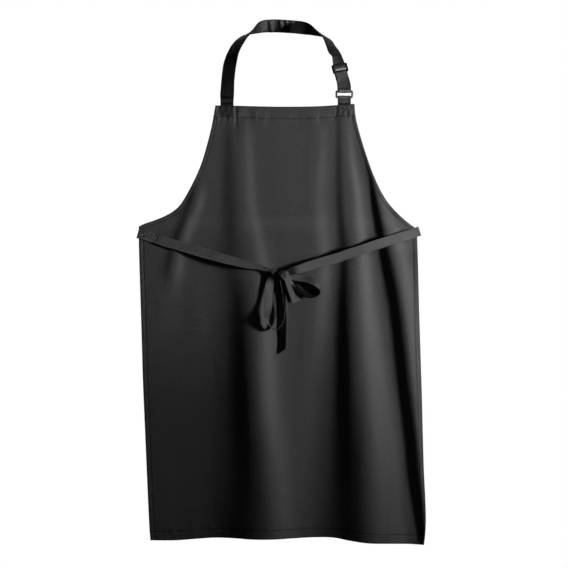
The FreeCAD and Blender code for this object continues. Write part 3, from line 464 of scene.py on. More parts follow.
# a finish is a material and the slot it belongs to
CLOTH = (cloth_material("apron_cloth", dark=(0.0155, 0.016, 0.017), light=(0.031, 0.032, 0.034),
                        depth=0.00011, sheen=0.06, rough=0.6, specular=0.5), "black_cloth")
WEBBING = (cloth_material("strap_cloth", dark=(0.006, 0.006, 0.0064),
                          light=(0.012, 0.0122, 0.013), depth=0.00009, sheen=0.0, rough=0.5,
                          specular=0.26), "black_webbing")
TAPE = (tape_material("tie_tape"), "black_twill_tape")
THREAD = (thread_material("sewing_thread"), "black_thread")
PLASTIC = (plastic_material("slider_plastic"), "black_plastic")


# ----------------------------------------------------------------- mesh building
def make_object(name, verts, faces, uv, finish, tone=1.0):
    """verts in drawing millimetres; uv per vertex in millimetres; tone, the painted light and
    shade that scales the colour, one value or one each.
    """
    material, slot = finish
    mesh = bpy.data.meshes.new(name)
    mesh.from_pydata(((np.asarray(verts, float) + SHIFT) / 1000.0).tolist(), [], faces)
    layer = mesh.uv_layers.new(name="mm")
    corner_vertex = np.zeros(len(mesh.loops), np.int32)
    mesh.loops.foreach_get("vertex_index", corner_vertex)
    layer.data.foreach_set("uv", np.asarray(uv, np.float32)[corner_vertex].ravel())
    attribute = mesh.attributes.new("tone", "FLOAT", "POINT")
    attribute.data.foreach_set("value", np.full(len(mesh.vertices), tone, np.float32))
    mesh.materials.append(material)
    mesh.polygons.foreach_set("use_smooth", np.ones(len(mesh.polygons), bool))
    mesh.validate()
    mesh.update()
    ob = bpy.data.objects.new(name, mesh)
    scene.collection.objects.link(ob)
    return ob


def skin_faces(front, back):
    """Quads over two grids of vertex numbers that face opposite ways."""
    def quads(grid):
        corners = [grid[:-1, :-1], grid[:-1, 1:], grid[1:, 1:], grid[1:, :-1]]
        return np.stack(corners, -1).reshape(-1, 4)

    return quads(front)[:, ::-1].tolist() + quads(back).tolist()


def tube_faces(rings, sides):
    """Quads round a stack of rings, with both ends capped."""
    faces = []
    for i in range(rings - 1):
        for j in range(sides):
            after = (j + 1) % sides
            faces.append((i * sides + j, i * sides + after,
                          (i + 1) * sides + after, (i + 1) * sides + j))
    faces.append(tuple(range(sides))[::-1])
    faces.append(tuple((rings - 1) * sides + j for j in range(sides)))
    return faces


def section(columns, width):
    """Places across a strip, from -1 to 1, closer together near its edges."""
    edge = 0.5 / (width / 2)
    side = np.array([1, 1 - 0.25 * edge, 1 - edge, 1 - 2 * edge])
    inner = np.linspace(-1 + 3.2 * edge, 1 - 3.2 * edge, columns)
    return np.concatenate([-side, inner, side[::-1]])


Path = namedtuple("Path", "centre across normal along v width thickness")
PATHS = {}             # the run of every strip, by object name
END_SLANT = 14.0       # length over which a slanted end leans


def strip(name, rows, finish, step, columns=8, thickness=1.0, relief=constant(0.0),
          thick=constant(1.0), tone=constant(1.0), tone_back=constant(1.0),
          crown=0.0, shear=0.0, v_start=0.0):
    """A closed woven strip with rounded edges through rows of (place, across, width).

    The functions take (u, v), the mm across and along. relief moves both faces along the
    normal, thick scales the thickness, tone paints light and shade on the strip, and
    tone_back scales that again on its back.
    crown raises the middle and shear slants the last end."""
    path = catmull(rows, step)
    # short first and last spans keep the ends crisp
    first = 0.12 / np.linalg.norm(path[1][:3] - path[0][:3])
    last = 0.12 / np.linalg.norm(path[-1][:3] - path[-2][:3])
    path = np.vstack([path[:1], path[0] * (1 - first) + path[1] * first, path[1:-1],
                      path[-1] * (1 - last) + path[-2] * last, path[-1:]])
    centre = path[:, :3]
    along = unit(np.gradient(centre, axis=0))
    across = path[:, 3:6]
    across = unit(across - (across * along).sum(1)[:, None] * along)
    normal = np.cross(across, along)
    v = run_length(centre) + v_start
    width = path[:, 6]

    share = section(columns, float(width.mean()))
    u_grid = share[None, :] * width[:, None] / 2
    v_grid = np.repeat(v[:, None], len(share), 1)
    rise = relief(u_grid, v_grid) + crown * (1 - share[None, :] ** 2)
    half = np.sqrt(np.clip(1 - np.abs(share) ** 22, 0, 1)) * thickness / 2
    half = half[None, :] * thick(u_grid, v_grid)
    lean = -ramp((v - (v[-1] - END_SLANT)) / END_SLANT)[:, None] * u_grid * shear
    middle = (centre[:, None, :] + across[:, None, :] * u_grid[..., None]
              + normal[:, None, :] * rise[..., None] + along[:, None, :] * lean[..., None])
    offset = normal[:, None, :] * half[..., None]

    def both_faces(front, back):
        """The back shares the front's edge columns."""
        size = front.shape[2]
        return np.concatenate([front.reshape(-1, size), back[:, 1:-1].reshape(-1, size)])

    count, wide = u_grid.shape
    front_ids = np.arange(count * wide).reshape(count, wide)
    inner_ids = count * wide + np.arange(count * (wide - 2)).reshape(count, wide - 2)
    back_ids = np.concatenate([front_ids[:, :1], inner_ids, front_ids[:, -1:]], 1)
    faces = skin_faces(front_ids, back_ids)
    for row, flip in ((0, False), (count - 1, True)):
        for j in range(wide - 1):
            quad = [front_ids[row, j], front_ids[row, j + 1],
                    back_ids[row, j + 1], back_ids[row, j]]
            quad = list(dict.fromkeys(quad))
            faces.append(quad[::-1] if flip else quad)

    uv = np.stack([u_grid, v_grid], -1)
    shade = (np.ones_like(u_grid) * tone(u_grid, v_grid))[..., None]
    shade_back = shade * (np.ones_like(u_grid) * tone_back(u_grid, v_grid))[..., None]
    ob = make_object(name, both_faces(middle + offset, middle - offset), faces,
                     both_faces(uv, uv), finish, tone=both_faces(shade, shade_back).ravel())
    PATHS[ob.name] = Path(centre, across, normal, along, v, width, thickness)
    return ob


def facing_rows(rows):
    """Strip rows from (x, y, z, turn[, width]): turned by so many degrees about its own run
    from facing the viewer."""
    out = []
    for i, row in enumerate(rows):
        before, after = rows[max(i - 1, 0)], rows[min(i + 1, len(rows) - 1)]
        along = unit(np.array([after[k] - before[k] for k in range(3)], float))
        out.append((*row[:3], *turned(along, row[3]), row[4] if len(row) > 4 else STRAP_W))
    return out


def turned(along, degrees):
    """Direction across a strip that runs along, turned from lying in the drawing plane."""
    level = unit(np.array([along[2], 0, -along[0]]))
    turn = math.radians(degrees)
    return level * math.cos(turn) + np.cross(level, along) * math.sin(turn)


class Threads:
    """Collects stitches: short raised lengths of thread, each a small capsule."""

    SIDES = 6
    # place along the stitch and share of the radius
    PROFILE = [(-0.5, 0.25), (-0.42, 0.75), (-0.22, 1.0), (0.0, 1.05), (0.22, 1.0),
               (0.42, 0.75), (0.5, 0.25)]

    def __init__(self):
        self.verts, self.faces = [], []
        angles = [2 * math.pi * i / self.SIDES for i in range(self.SIDES)]
        self.capsule = np.array([(s, r * math.cos(a), r * math.sin(a))
                                 for s, r in self.PROFILE for a in angles])
        self.arch = 0.12 * (1 - (2 * self.capsule[:, 0]) ** 2)
        self.capsule_faces = tube_faces(len(self.PROFILE), self.SIDES)

    def add(self, start, end, normal, radius):
        x = unit(end - start)
        z = unit(normal - (normal @ x) * x)
        y = np.cross(z, x)
        base = len(self.verts)
        length = np.linalg.norm(end - start)
        points = ((start + end) / 2 + np.outer(self.capsule[:, 0] * length, x)
                  + np.outer(self.capsule[:, 1] * radius, y)
                  + np.outer(self.capsule[:, 2] * radius + self.arch, z))
        self.verts.extend(points.tolist())
        self.faces.extend([tuple(base + i for i in face) for face in self.capsule_faces])

    def line(self, points, normals, pitch=3.1, stitch=2.35, radius=0.24, lift=0.0):
        """Stitches along dense points; normals are one for all or one each."""
        points = np.asarray(points, float)
        normals = np.broadcast_to(np.asarray(normals, float), points.shape)
        run = run_length(points)

        def at(distance, values):
            return np.array([np.interp(distance, run, values[:, k]) for k in range(3)])

        for i in range(int(run[-1] / pitch)):
            start = i * pitch + 0.3
            end = start + stitch
            if end > run[-1]:
                break
            normal = unit(at((start + end) / 2, normals))
            self.add(at(start, points) + normal * lift, at(end, points) + normal * lift,
                     normal, radius)

    def build(self, name):
        return make_object(name, self.verts, self.faces, np.zeros((len(self.verts), 2)), THREAD)


def edge_stitches(name, ob, v_from, relief=constant(0.0)):
    """Rows of stitches along both edges of a strip, on both faces."""
    path = PATHS[ob.name]
    threads = Threads()
    keep = path.v >= v_from
    for edge in (-1, 1):
        u = edge * (path.width / 2 - 2.6)
        rise = np.zeros_like(path.v) + relief(u, path.v)
        seam = path.centre + path.across * u[:, None] + path.normal * rise[:, None]
        for side in (1, -1):
            threads.line((seam + path.normal * side * path.thickness * 0.44)[keep],
                         (path.normal * side)[keep], radius=0.22)
    return threads.build(name)


# ----------------------------------------------------------------- the panel's surface
ARM_LEFT_CURVE, ARM_RIGHT_CURVE = planar(ARM_LEFT), planar(ARM_RIGHT)
SIDE_LEFT_CURVE, SIDE_RIGHT_CURVE = planar(SIDE_LEFT), planar(SIDE_RIGHT)
LEFT_CURVE = np.hstack([ARM_LEFT_CURVE, SIDE_LEFT_CURVE[:, 1:]])
RIGHT_CURVE = np.hstack([ARM_RIGHT_CURVE, SIDE_RIGHT_CURVE[:, 1:]])
ARM_CURVES = np.hstack([ARM_LEFT_CURVE, ARM_RIGHT_CURVE])
SIDE_CURVES = np.hstack([SIDE_LEFT_CURVE, SIDE_RIGHT_CURVE])
TOP_CURVE, BOTTOM_CURVE = planar(TOP_EDGE), planar(BOTTOM)


def nearest(x, z, curve):
    """Distance from each place to the curve, worked out in batches."""
    flat_x, flat_z = x.ravel(), z.ravel()
    out = np.empty_like(flat_x)
    for i in range(0, len(flat_x), 2000):
        batch = slice(i, i + 2000)
        square = ((flat_x[batch, None] - curve[0][None]) ** 2
                  + (flat_z[batch, None] - curve[1][None]) ** 2)
        out[batch] = np.sqrt(square.min(1))
    return out.reshape(x.shape)


def edge_distances(x, z):
    """Distances to the top edge, armholes, sides and bottom edge."""
    return (np.interp(x, *TOP_CURVE) - z, nearest(x, z, ARM_CURVES),
            nearest(x, z, SIDE_CURVES), z - np.interp(x, *BOTTOM_CURVE))


def cloth_depth(distances):
    hems = [ramp((width - d) / 0.9 + 0.5)
            for d, width in zip(distances, (TOP_HEM, ARM_HEM, SIDE_HEM, BOTTOM_HEM))]
    return CLOTH_T + HEM_T * np.maximum.reduce(hems)


# The relief functions below give mm towards the back.
def seam_relief(x, z, distances):
    """What the sewing of the hems does to the cloth."""
    top, arm, side, bottom = distances
    flank = np.minimum(arm, side)
    y = (0.42 * bell(top, TOP_SEAM, 1.0) + 0.3 * bell(arm, ARM_SEAM, 0.85)
         + 0.3 * bell(side, SIDE_SEAM, 0.85) + 0.34 * bell(bottom, BOTTOM_SEAM, 0.85))
    # hems stand a little proud between fold and stitching
    y -= 0.3 * ramp(top / 5) * ramp((TOP_HEM - 1 - top) / 4)
    y -= 0.22 * ramp(flank / 2.5) * ramp((7.5 - flank) / 2.5)
    y -= 0.25 * ramp(bottom / 4) * ramp((BOTTOM_HEM - 1.5 - bottom) / 4)
    # puckers along each line of stitching
    y += 0.17 * field(x, z, 11, 60, seed=11) * bell(top, TOP_HEM - 2, 7)
    y += 0.35 * field(x, z, 34, 60, seed=12) * bell(top, TOP_HEM - 4, 13)
    y += 0.16 * field(x, z, 60, 17, seed=13) * bell(flank, 7.5, 7)
    y += 0.18 * field(x, z, 15, 50, seed=14) * bell(bottom, BOTTOM_HEM - 2, 9)
    return y


def sewn_pad(x, z, centre_x):
    """1 where webbing is sewn on behind."""
    return (ramp((STRAP_W / 2 + 1.6 - np.abs(x - centre_x)) / 2.4)
            * ramp((z - PAD_LOW + 1.6) / 2.4))


def box_dip(x, z, centre_x):
    """1 along the sides of the box of stitching."""
    off = np.abs(x - centre_x)
    sides = bell(off, BOX_HALF, 0.8) * ((z > BOX_LOW - 1) & (z < BOX_TOP + 1))
    ends = (bell(z, BOX_LOW, 0.8) + bell(z, BOX_TOP, 0.8)) * (off < BOX_HALF + 0.8)
    return np.maximum(sides, ends)


def soft_wrinkles(x, z):
    y = 0.12 * field(x, z, 64, 240, seed=21) + 0.03 * field(x, z, 26, 90, seed=22)
    y += 0.05 * field(x, z, 120, 38, seed=23) + 0.015 * field(x, z, 12, 30, seed=24)
    y *= ramp((-z + 8) / 60) * 0.85 + 0.15
    # short creases across, below the bow and at the waist
    y += 0.35 * bell(z, -506, 2.4) * bell(x, -30, 22)
    y += 0.30 * field(x, z, 70, 20, seed=25) * bell(z, -262, 26) * ramp((np.abs(x) - 120) / 80)
    return y


def box_relief(x, z):
    """Pads, stitched boxes and the ragged pull round them."""
    pads = sewn_pad(x, z, STRAP_X) + sewn_pad(x, z, RING_X)
    boxes = box_dip(x, z, STRAP_X) + box_dip(x, z, RING_X)
    beside = np.maximum(np.abs(np.abs(x) - 116) - 12, 0)
    below = np.maximum(-z - 20, 0)
    pull = 0.22 * field(x, z, 13, 20, seed=31) * bell(beside, 0, 10) * bell(below, 0, 12)
    return -0.35 * pads + 0.2 * boxes + pull


def surface(x, z, side="front"):
    """Points and outward normals on the finished cloth at places in the drawing plane."""
    def depth(x, z):
        distances = edge_distances(x, z)
        y = drape(x, z) + soft_wrinkles(x, z) + seam_relief(x, z, distances) + box_relief(x, z)
        return y + cloth_depth(distances) if side == "back" else y

    reach = 0.8
    y = depth(x, z)
    slope_x = (depth(x + reach, z) - depth(x - reach, z)) / (2 * reach)
    slope_z = (depth(x, z + reach) - depth(x, z - reach)) / (2 * reach)
    normal = unit(np.stack([slope_x, -np.ones_like(y), slope_z], -1))
    return np.stack([x, y, z], -1), (normal if side == "front" else -normal)


# ----------------------------------------------------------------- the panel's mesh
# rows down the panel, and columns in from each side edge; closer at hems and the waist
ROW_DROPS = np.concatenate([
    [0, 0.35, 1.0, 2.4, 4.4, 7, 10, 13, 16, 18.5, 20.5, 22, 23, 23.7, 24.3, 24.9, 25.5, 26.3,
     28, 30.5, 33.5],
    np.arange(37.5, 218, 4.3), np.arange(219.0, 252, 1.9), np.arange(255.2, 832, 4.7),
    [835.5, 838.5, 840, 840.8, 841.6, 843, 845.5, 849, 853, 856.5, 859, 860.1, 860.7,
     PANEL_DROP]])
EDGE_COLUMNS = np.array([0, 0.4, 1.1, 2.3, 4.0, 6.0, 7.3, 8.4, 9.2, 10.2, 11.2, 12.4, 14.5])
INNER_COLUMNS = 176
# shaded flanks low on the skirt: (z where it starts, fade, centre x, half-width, amount)
SHADED = [(-360, 220, 72, 36, 0.38), (-600, 200, -62, 30, 0.40), (-520, 200, 138, 24, 0.55)]


def panel_grid():
    """x and z of the panel's vertices, fitted to its outline."""
    def x_at(curve, z):
        return np.interp(-z, -curve[1], curve[0])

    drop = ROW_DROPS[:, None]
    left, right = x_at(LEFT_CURVE, -drop), x_at(RIGHT_CURVE, -drop)
    spread = np.linspace(0, 1, INNER_COLUMNS + 2)[None, 1:-1]
    inner = left + EDGE_COLUMNS[-1] + (right - left - 2 * EDGE_COLUMNS[-1]) * spread
    x = np.concatenate([left + EDGE_COLUMNS, inner, (right - EDGE_COLUMNS)[:, ::-1]], 1)
    down = drop / PANEL_DROP
    z = (-drop + (1 - down) * np.interp(x, *TOP_CURVE) * np.exp(-drop / 260.0)
         + down ** 3 * (np.interp(x, *BOTTOM_CURVE) + PANEL_DROP))
    # the sides follow the outline at the true height of each end
    t = (x - left) / (right - left)
    return (x + (x_at(LEFT_CURVE, z[:, :1]) - left) * (1 - t)
            + (x_at(RIGHT_CURVE, z[:, -1:]) - right) * t), z


def panel_shade(x, z, distances, edge):
    # painted shade: darker towards the lower left, on the flanks listed in SHADED, along the cut
    # edge, over the sewn pads and along each line of stitching
    shade = 1.0 - 0.52 * ramp((-320 - z) / 320) * ramp((-50 - x) / 80)
    for start, fade, centre, width, amount in SHADED:
        shade = shade * (1 - amount * ramp((start - z) / fade) * bell(x, centre, width))
    # painted light round the right tie's sewn end
    shade = shade * (1 + 0.45 * ramp((x - 205) / 40) * ramp((z + 300) / 30)
                     * ramp((-215 - z) / 15))
    shade = shade * (1 - 0.5 * bell(edge, 0, 1.3))
    shade = shade * (1 - 0.45 * sewn_pad(x, z, STRAP_X)) * (1 - 0.10 * sewn_pad(x, z, RING_X))
    for distance, seam in zip(distances, (TOP_SEAM, ARM_SEAM, SIDE_SEAM, BOTTOM_SEAM)):
        shade = shade * (1 - 0.45 * bell(distance, seam, 0.9))
    return shade


def build_panel():
    x, z = panel_grid()
    distances = edge_distances(x, z)
    edge = np.minimum.reduce(distances)
    fall = drape(x, z) + soft_wrinkles(x, z)
    front_y = fall + seam_relief(x, z, distances) + box_relief(x, z)
    half = cloth_depth(distances) / 2
    middle_y = front_y + half
    round_edge = np.sqrt(np.clip(1 - (1 - np.clip(edge / 1.1, 0, 1)) ** 2, 0, 1))
    half = half * np.maximum(round_edge, 0.12)
    rough_back = 0.04 * field(x, z, 9, 9, seed=41) * (edge > 1)
    front = np.stack([x, middle_y - half, z], -1)
    back = np.stack([x, middle_y + half + rough_back, z], -1)

    # u is measured along the folded cloth from its middle
    steps = np.sqrt(np.diff(x, axis=1) ** 2 + np.diff(fall, axis=1) ** 2)
    arc = np.concatenate([np.zeros((len(x), 1)), np.cumsum(steps, 1)], 1)
    middle = arc[np.arange(len(x)), np.abs(x).argmin(1)]
    uv = np.stack([arc - middle[:, None], z], -1).reshape(-1, 2)

    ids = np.arange(x.size).reshape(x.shape)
    faces = skin_faces(ids, ids + x.size)
    rim = [*ids[0, :], *ids[1:, -1], *ids[-1, -2::-1], *ids[-2:0:-1, 0]]
    for i, start in enumerate(rim):
        a, b = int(start), int(rim[(i + 1) % len(rim)])
        faces.append([a, b, b + x.size, a + x.size])
    shade = panel_shade(x, z, distances, edge).ravel()
    return make_object("apron_panel", np.concatenate([front.reshape(-1, 3), back.reshape(-1, 3)]),
                       faces, np.concatenate([uv, uv]), CLOTH,
                       tone=np.concatenate([shade, shade]))


panel = build_panel()
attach(panel, "apron_body")
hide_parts("main_panel", "top_hem", "armhole_hem_left", "armhole_hem_right",
            "side_hem_left", "side_hem_right", "bottom_hem")


# ----------------------------------------------------------------- the panel's stitching
def inset(points, distance):
    """Moves a line that runs downwards to the right, or to the left by a negative distance."""
    out = []
    for i, (x, z) in enumerate(points):
        before, after = points[max(i - 1, 0)], points[min(i + 1, len(points) - 1)]
        run_x, run_z = after[0] - before[0], after[1] - before[1]
        length = math.hypot(run_x, run_z)
        out.append((x - run_z / length * distance, z + run_x / length * distance))
    return out


def side_seam(points, distance, end_shift):
    """A side's seam, stopped 2 mm above the bottom edge."""
    line = inset(points, distance)
    return line[:-1] + [(line[-1][0] + end_shift, points[-1][1] + 2.0)]


def build_panel_stitching():
    threads = Threads()
    top = [(-141.6, 0.2)] + TOP_EDGE[1:-1] + [(139.6, 3.0)]
    bottom = [(BOTTOM[0][0] + 2, BOTTOM[0][1]), *BOTTOM[1:-1],
              (BOTTOM[-1][0] - 2, BOTTOM[-1][1])]
    for line in ([(x, z - TOP_SEAM) for x, z in top],
                 inset(ARM_LEFT, ARM_SEAM)[2:-1],
                 inset(ARM_RIGHT, -ARM_SEAM)[2:-1],
                 side_seam(SIDE_LEFT, SIDE_SEAM, end_shift=0.0),
                 side_seam(SIDE_RIGHT, -SIDE_SEAM, end_shift=-0.5),
                 [(x, z + BOTTOM_SEAM) for x, z in bottom]):
        x, z = planar(line, 0.7)
        for side in ("front", "back"):
            threads.line(*surface(x, z, side), lift=0.04)
    for centre in (STRAP_X, RING_X):
        left, right = centre - BOX_HALF, centre + BOX_HALF
        for x0, z0, x1, z1 in ((left, BOX_TOP, left, BOX_LOW), (right, BOX_TOP, right, BOX_LOW),
                               (left, BOX_LOW, right, BOX_LOW), (left, BOX_TOP, right, BOX_TOP),
                               (left, BOX_LOW, right, BOX_TOP), (left, BOX_TOP, right, BOX_LOW)):
            threads.line(*surface(np.linspace(x0, x1, 24), np.linspace(z0, z1, 24)),
                         pitch=2.5, lift=0.04)
    return threads.build("panel_stitching")


seams = build_panel_stitching()
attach(seams, "apron_body")
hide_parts("top_hem_seam", "armhole_seams", "side_seams", "bottom_hem_seam",
            "neck_strap_box_stitch", "ring_tab_box_stitch")

# ----------------------------------------------------------------- neck strap
BASE_Y, LEFT_Y = 1.84, 2.13                # depth of the ring tab and of the strap's left foot
BAR_Y, LOW_BAR_Z, HIGH_BAR_Z = 4.59, 16.2, 28.4   # the ring's two bars
TURN_R = 2.75                              # from a bar's middle to the middle of the webbing
# the straight run above the ring, and its directions
RUN_LOW = np.array([113.4, 7.4, 57.0])
RUN_HIGH = np.array([102.4, 17.4, 99.0])
RUN_TURN = 20
RUN_DOWN = unit(RUN_LOW - RUN_HIGH)
RUN_ACROSS = turned(RUN_DOWN, RUN_TURN)
RUN_FRONT = np.cross(RUN_ACROSS, RUN_DOWN)
SLIDER_Z = 73.9
SLIDER = (RUN_HIGH + (RUN_LOW - RUN_HIGH)
          * ((RUN_HIGH[2] - SLIDER_Z) / (RUN_HIGH[2] - RUN_LOW[2])))

# up from the left, round the back of the neck and down on the right: (x, y, z, turn[, width])
NECK = [
    (-114.7, LEFT_Y + 0.1, 20, 6, 27.6), (-113.9, LEFT_Y + 1.2, 35.0, 12, 27.4),
    (-113.1, LEFT_Y + 2.4, 49.7, 15, 27), (-109.1, 11, 81.6, 19, 27),
    (-101.8, 21, 106.5, 36), (-93, 31, 122.6, 47), (-84.1, 41, 133.8, 63),
    (-76.2, 50, 140.8, 77), (-70, 57, 145, 90), (-56.6, 72, 153.5, 130), (-43, 81, 157.6, 160),
    (-22.6, 88.5, 158.8, 177), (2.4, 91.8, 157.8, 180), (22, 92, 156.4, 178),
    (38, 88, 154.4, 164), (52, 78.5, 151.0, 138), (63, 66.5, 146.0, 113), (75.4, 52, 139.8, 88),
    (84.2, 42, 131.0, 66), (88.4, 35.4, 123.8, 55), (92.0, 28.6, 116.2, 48),
    (96.8, 22.4, 106.8, 41, 26)]
# down the straight run: (share of the run, turn, width)
RUN_ROWS = [(0.0, 37, 24), (0.14, 31, 23.6), (0.28, 25, 24.2), (0.42, 21, 25.4),
            (0.6, 20, 26), (0.8, 20, 26), (1.0, 20, 26)]

pad_y = float(drape([STRAP_X], [-2.0])[0])
sewn_end = [(STRAP_X, pad_y + 3.0, PAD_LOW, 0), (STRAP_X, pad_y + 2.95, -10.0, 0),
            (STRAP_X, LEFT_Y + 0.75, 2.0, 0), (STRAP_X, LEFT_Y + 0.4, 9.2, 0)]
neck_rows = facing_rows(sewn_end + NECK + [(*RUN_HIGH, RUN_TURN)])[:-1]
for share, turn, width in RUN_ROWS:
    neck_rows.append((*(RUN_HIGH + (RUN_LOW - RUN_HIGH) * share), *turned(RUN_DOWN, turn), width))

neck_line = catmull(neck_rows, 2.0)[:, :3]
neck_run = run_length(neck_line)
line_x, line_z = neck_line[:, 0], neck_line[:, 2]
BEHIND_NECK = np.nonzero((line_z > 143) & (line_x > -75) & (line_x < 72))[0]
LEFT_RISE = np.nonzero((line_x < -62) & (line_z < 149))[0]
RIGHT_DROP = np.nonzero((line_x > 74) & (line_z < 138))[0][::-1]


def along_top(x):
    """Distance along the strap where it passes x behind the neck."""
    return float(np.interp(x, line_x[BEHIND_NECK], neck_run[BEHIND_NECK]))


def along_part(part, z):
    """Distance along the strap where its left rise or right drop passes z."""
    return float(np.interp(z, line_z[part], neck_run[part]))


# crumples behind the neck: (distance along, height, half-width, lean)
NECK_FOLDS = [
    (along_top(-28.7), 4.0, 4.4, 0.20), (along_top(-7.9), 3.6, 3.8, 0.25),
    (along_top(4.0), 2.4, 2.8, 0.25), (along_top(15.0), 1.1, 3.0, 0.2),
    (along_top(27.0), 0.8, 3.4, 0.2), (along_top(-56.0), 0.6, 5.0, 0.1),
    (along_top(34.0), 0.6, 5.0, 0.2)]


def neck_relief(u, v):
    y = np.zeros_like(u + v)
    for centre, height, width, lean in NECK_FOLDS:
        y = y - height * bell(v + lean * u, centre, width) * (0.85 + 0.15 * np.cos(u / 5.0))
    y = y + 0.22 * field(u, v, 30, 26, seed=51) * (0.35 + 0.65 * bell(v, 280, 90))
    y = y + 0.08 * field(u, v, 10, 14, seed=52)
    return y * ramp((v - 26) / 20) * ramp((497 - v) / 30)


def edge_tone(u):
    return 1 - 0.55 * ramp((np.abs(u) - (STRAP_W / 2 - 2.4)) / 1.4)


def neck_tone(u, v):
    # painted shade in two creases across the left foot, on the right drop and in the left bend;
    # painted light on the run above the ring
    painted_crease_shade = (1.0 - 0.9 * bell(v, along_part(LEFT_RISE, 15.8), 2.2)
            - 0.9 * bell(v, along_part(LEFT_RISE, 4.2), 2.0))
    shaded = (ramp((v - along_part(RIGHT_DROP, 126.0)) / 25)
              * ramp((along_part(RIGHT_DROP, 84.0) - v) / 14))
    painted_bend_shade = np.exp(-((v - along_part(LEFT_RISE, 134.5) + 6.0) / 27.0) ** 4)
    painted_run_light = ramp((v - along_part(RIGHT_DROP, 76.0)) / 6)
    return (painted_crease_shade * (1 - 0.35 * shaded) * (1 - 0.92 * painted_bend_shade) * (1 + 1.6 * painted_run_light)
            * edge_tone(u))


def neck_tone_back(u, v):
    # painted light on the inner face behind the neck, up to twelve times its tone where the
    # strap's own bend shades it
    lit = ramp((v - along_top(-18)) / 8) + 11.0 * ramp((v - along_top(8)) / 8)
    return 1 + lit * ramp((along_top(44) - v) / 16)


def piped(u, v):
    """A folded strap is thickest just inside its stitched edges."""
    off = np.abs(u)
    return (1.0 + 0.18 * bell(off, STRAP_W / 2 - 1.3, 0.9)
            - 0.2 * bell(off, STRAP_W / 2 - 2.6, 0.6))


def banded(start, bands):
    """Painted light on the webbing, 2.6 times its own tone, crossed by bands of painted highlight
    (positive change) and painted shade (negative change) at (distance from start, change,
    half-width).
    """
    return lambda u, v: edge_tone(u) * (2.6 + sum(
        change * bell(v - start, centre, width) for centre, change, width in bands))


neck = strip("neck_strap_main", neck_rows, WEBBING, step=2.0, columns=14, thickness=1.5,
             relief=neck_relief, thick=piped, tone=neck_tone, tone_back=neck_tone_back)
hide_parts("neck_strap", "neck_strap_sewn_end")
NECK_END_V = PATHS[neck.name].v[-1]
neck_stitches = edge_stitches("neck_strap_stitching", neck, v_from=24, relief=neck_relief)
for ob in (neck, neck_stitches):
    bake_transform(ob)


# ----------------------------------------------------------------- webbing at ring and slider
def half_turn(bar_z, way):
    """Rows from front to back round a ring bar, over it (way 1) or under it (way -1)."""
    out = []
    for degrees in range(30, 181, 30):
        angle = math.radians(degrees)
        out.append((RING_X, BAR_Y - TURN_R * math.cos(angle),
                    bar_z + way * TURN_R * math.sin(angle), way, 0, 0, STRAP_W))
    return out


# from the straight run down through the ring and up behind itself
BEHIND_RUN = RUN_LOW - RUN_FRONT * 4.2 + RUN_DOWN * 6.0
LEFTWARDS = np.array([-1.0, 0, 0])
turn_rows = [
    (*RUN_LOW, *RUN_ACROSS, STRAP_W),
    (115.3, 4.9, 48.0, *(RUN_ACROSS * 0.55 + LEFTWARDS * 0.45), 26.6),
    (116.7, BASE_Y + 0.9, 40.0, *(RUN_ACROSS * 0.2 + LEFTWARDS * 0.8), 27.0),
    (RING_X - 0.2, BASE_Y, 33.5, -1, 0, 0, 27.0), (RING_X, BASE_Y, HIGH_BAR_Z, -1, 0, 0, 27.0),
    *half_turn(HIGH_BAR_Z, -1),
    (RING_X, BAR_Y + TURN_R + 0.1, 34.0, -1, 0, 0, STRAP_W),
    (116.9, BAR_Y + TURN_R + 0.6, 41.0, -1, 0, -0.08, STRAP_W),
    (*BEHIND_RUN, *RUN_ACROSS, STRAP_W)]
# its tone paints light on the webbing, a highlight where it turns under the ring's upper bar and
# shade on either side
ring_turn = strip(
    "neck_strap_ring_turn", turn_rows, WEBBING, step=1.0, columns=12, thickness=1.4,
    v_start=NECK_END_V, thick=piped,
    relief=lambda u, v: 0.12 * field(u, v, 14, 12, seed=53) * ramp((v - NECK_END_V) / 8),
    tone=banded(NECK_END_V, [(29.3, 5.0, 1.4), (24.6, -1.5, 1.8), (33.0, -2.2, 1.6)]))
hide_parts("neck_strap_ring_fold")
turn_stitches = edge_stitches("ring_turn_stitching", ring_turn, v_from=NECK_END_V)
for ob in (ring_turn, turn_stitches):
    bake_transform(ob)


def slider_row(down, front, width=STRAP_W):
    """A row so far down the run and in front of it, measured from the slider's middle."""
    return (*(SLIDER + RUN_DOWN * down + RUN_FRONT * front), *RUN_ACROSS, width)


def slider_bend(degrees):
    """A row round the slider's middle bar."""
    angle = math.radians(degrees)
    return slider_row(-0.3 - 1.55 * math.sin(angle), -2.98 - 1.38 * math.cos(angle))


# the strap's end: up behind the strap, over the slider's middle bar, sewn down on itself
end_start = float((BEHIND_RUN - SLIDER) @ RUN_DOWN)
end_rows = [slider_row(end_start, -4.2), slider_row((end_start + 10) / 2, -4.28),
            slider_row(9.0, -4.3), slider_row(4.0, -4.32), slider_row(-0.2, -4.34),
            *[slider_bend(degrees) for degrees in range(30, 151, 30)],
            slider_row(0.3, -1.62), slider_row(2.0, -1.95), slider_row(4.6, -2.95),
            slider_row(7.0, -3.1), slider_row(10.5, -3.12)]
strap_end = strip("neck_strap_end", end_rows, WEBBING, step=0.8, columns=12,
                  v_start=NECK_END_V + 48)
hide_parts("strap_end_loop", "neck_strap_return")
threads = Threads()
for down in (6.4, 8.8):
    for front, way in ((-2.55, 1), (-4.86, -1)):
        seam = [SLIDER + RUN_DOWN * down + RUN_FRONT * front + RUN_ACROSS * u
                for u in np.linspace(-10.5, 10.5, 30)]
        threads.line(seam, RUN_FRONT * way, pitch=2.6, stitch=2.0)
end_stitches = threads.build("strap_end_stitches")
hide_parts("strap_end_stitching")
for ob in (strap_end, end_stitches):
    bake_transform(ob)

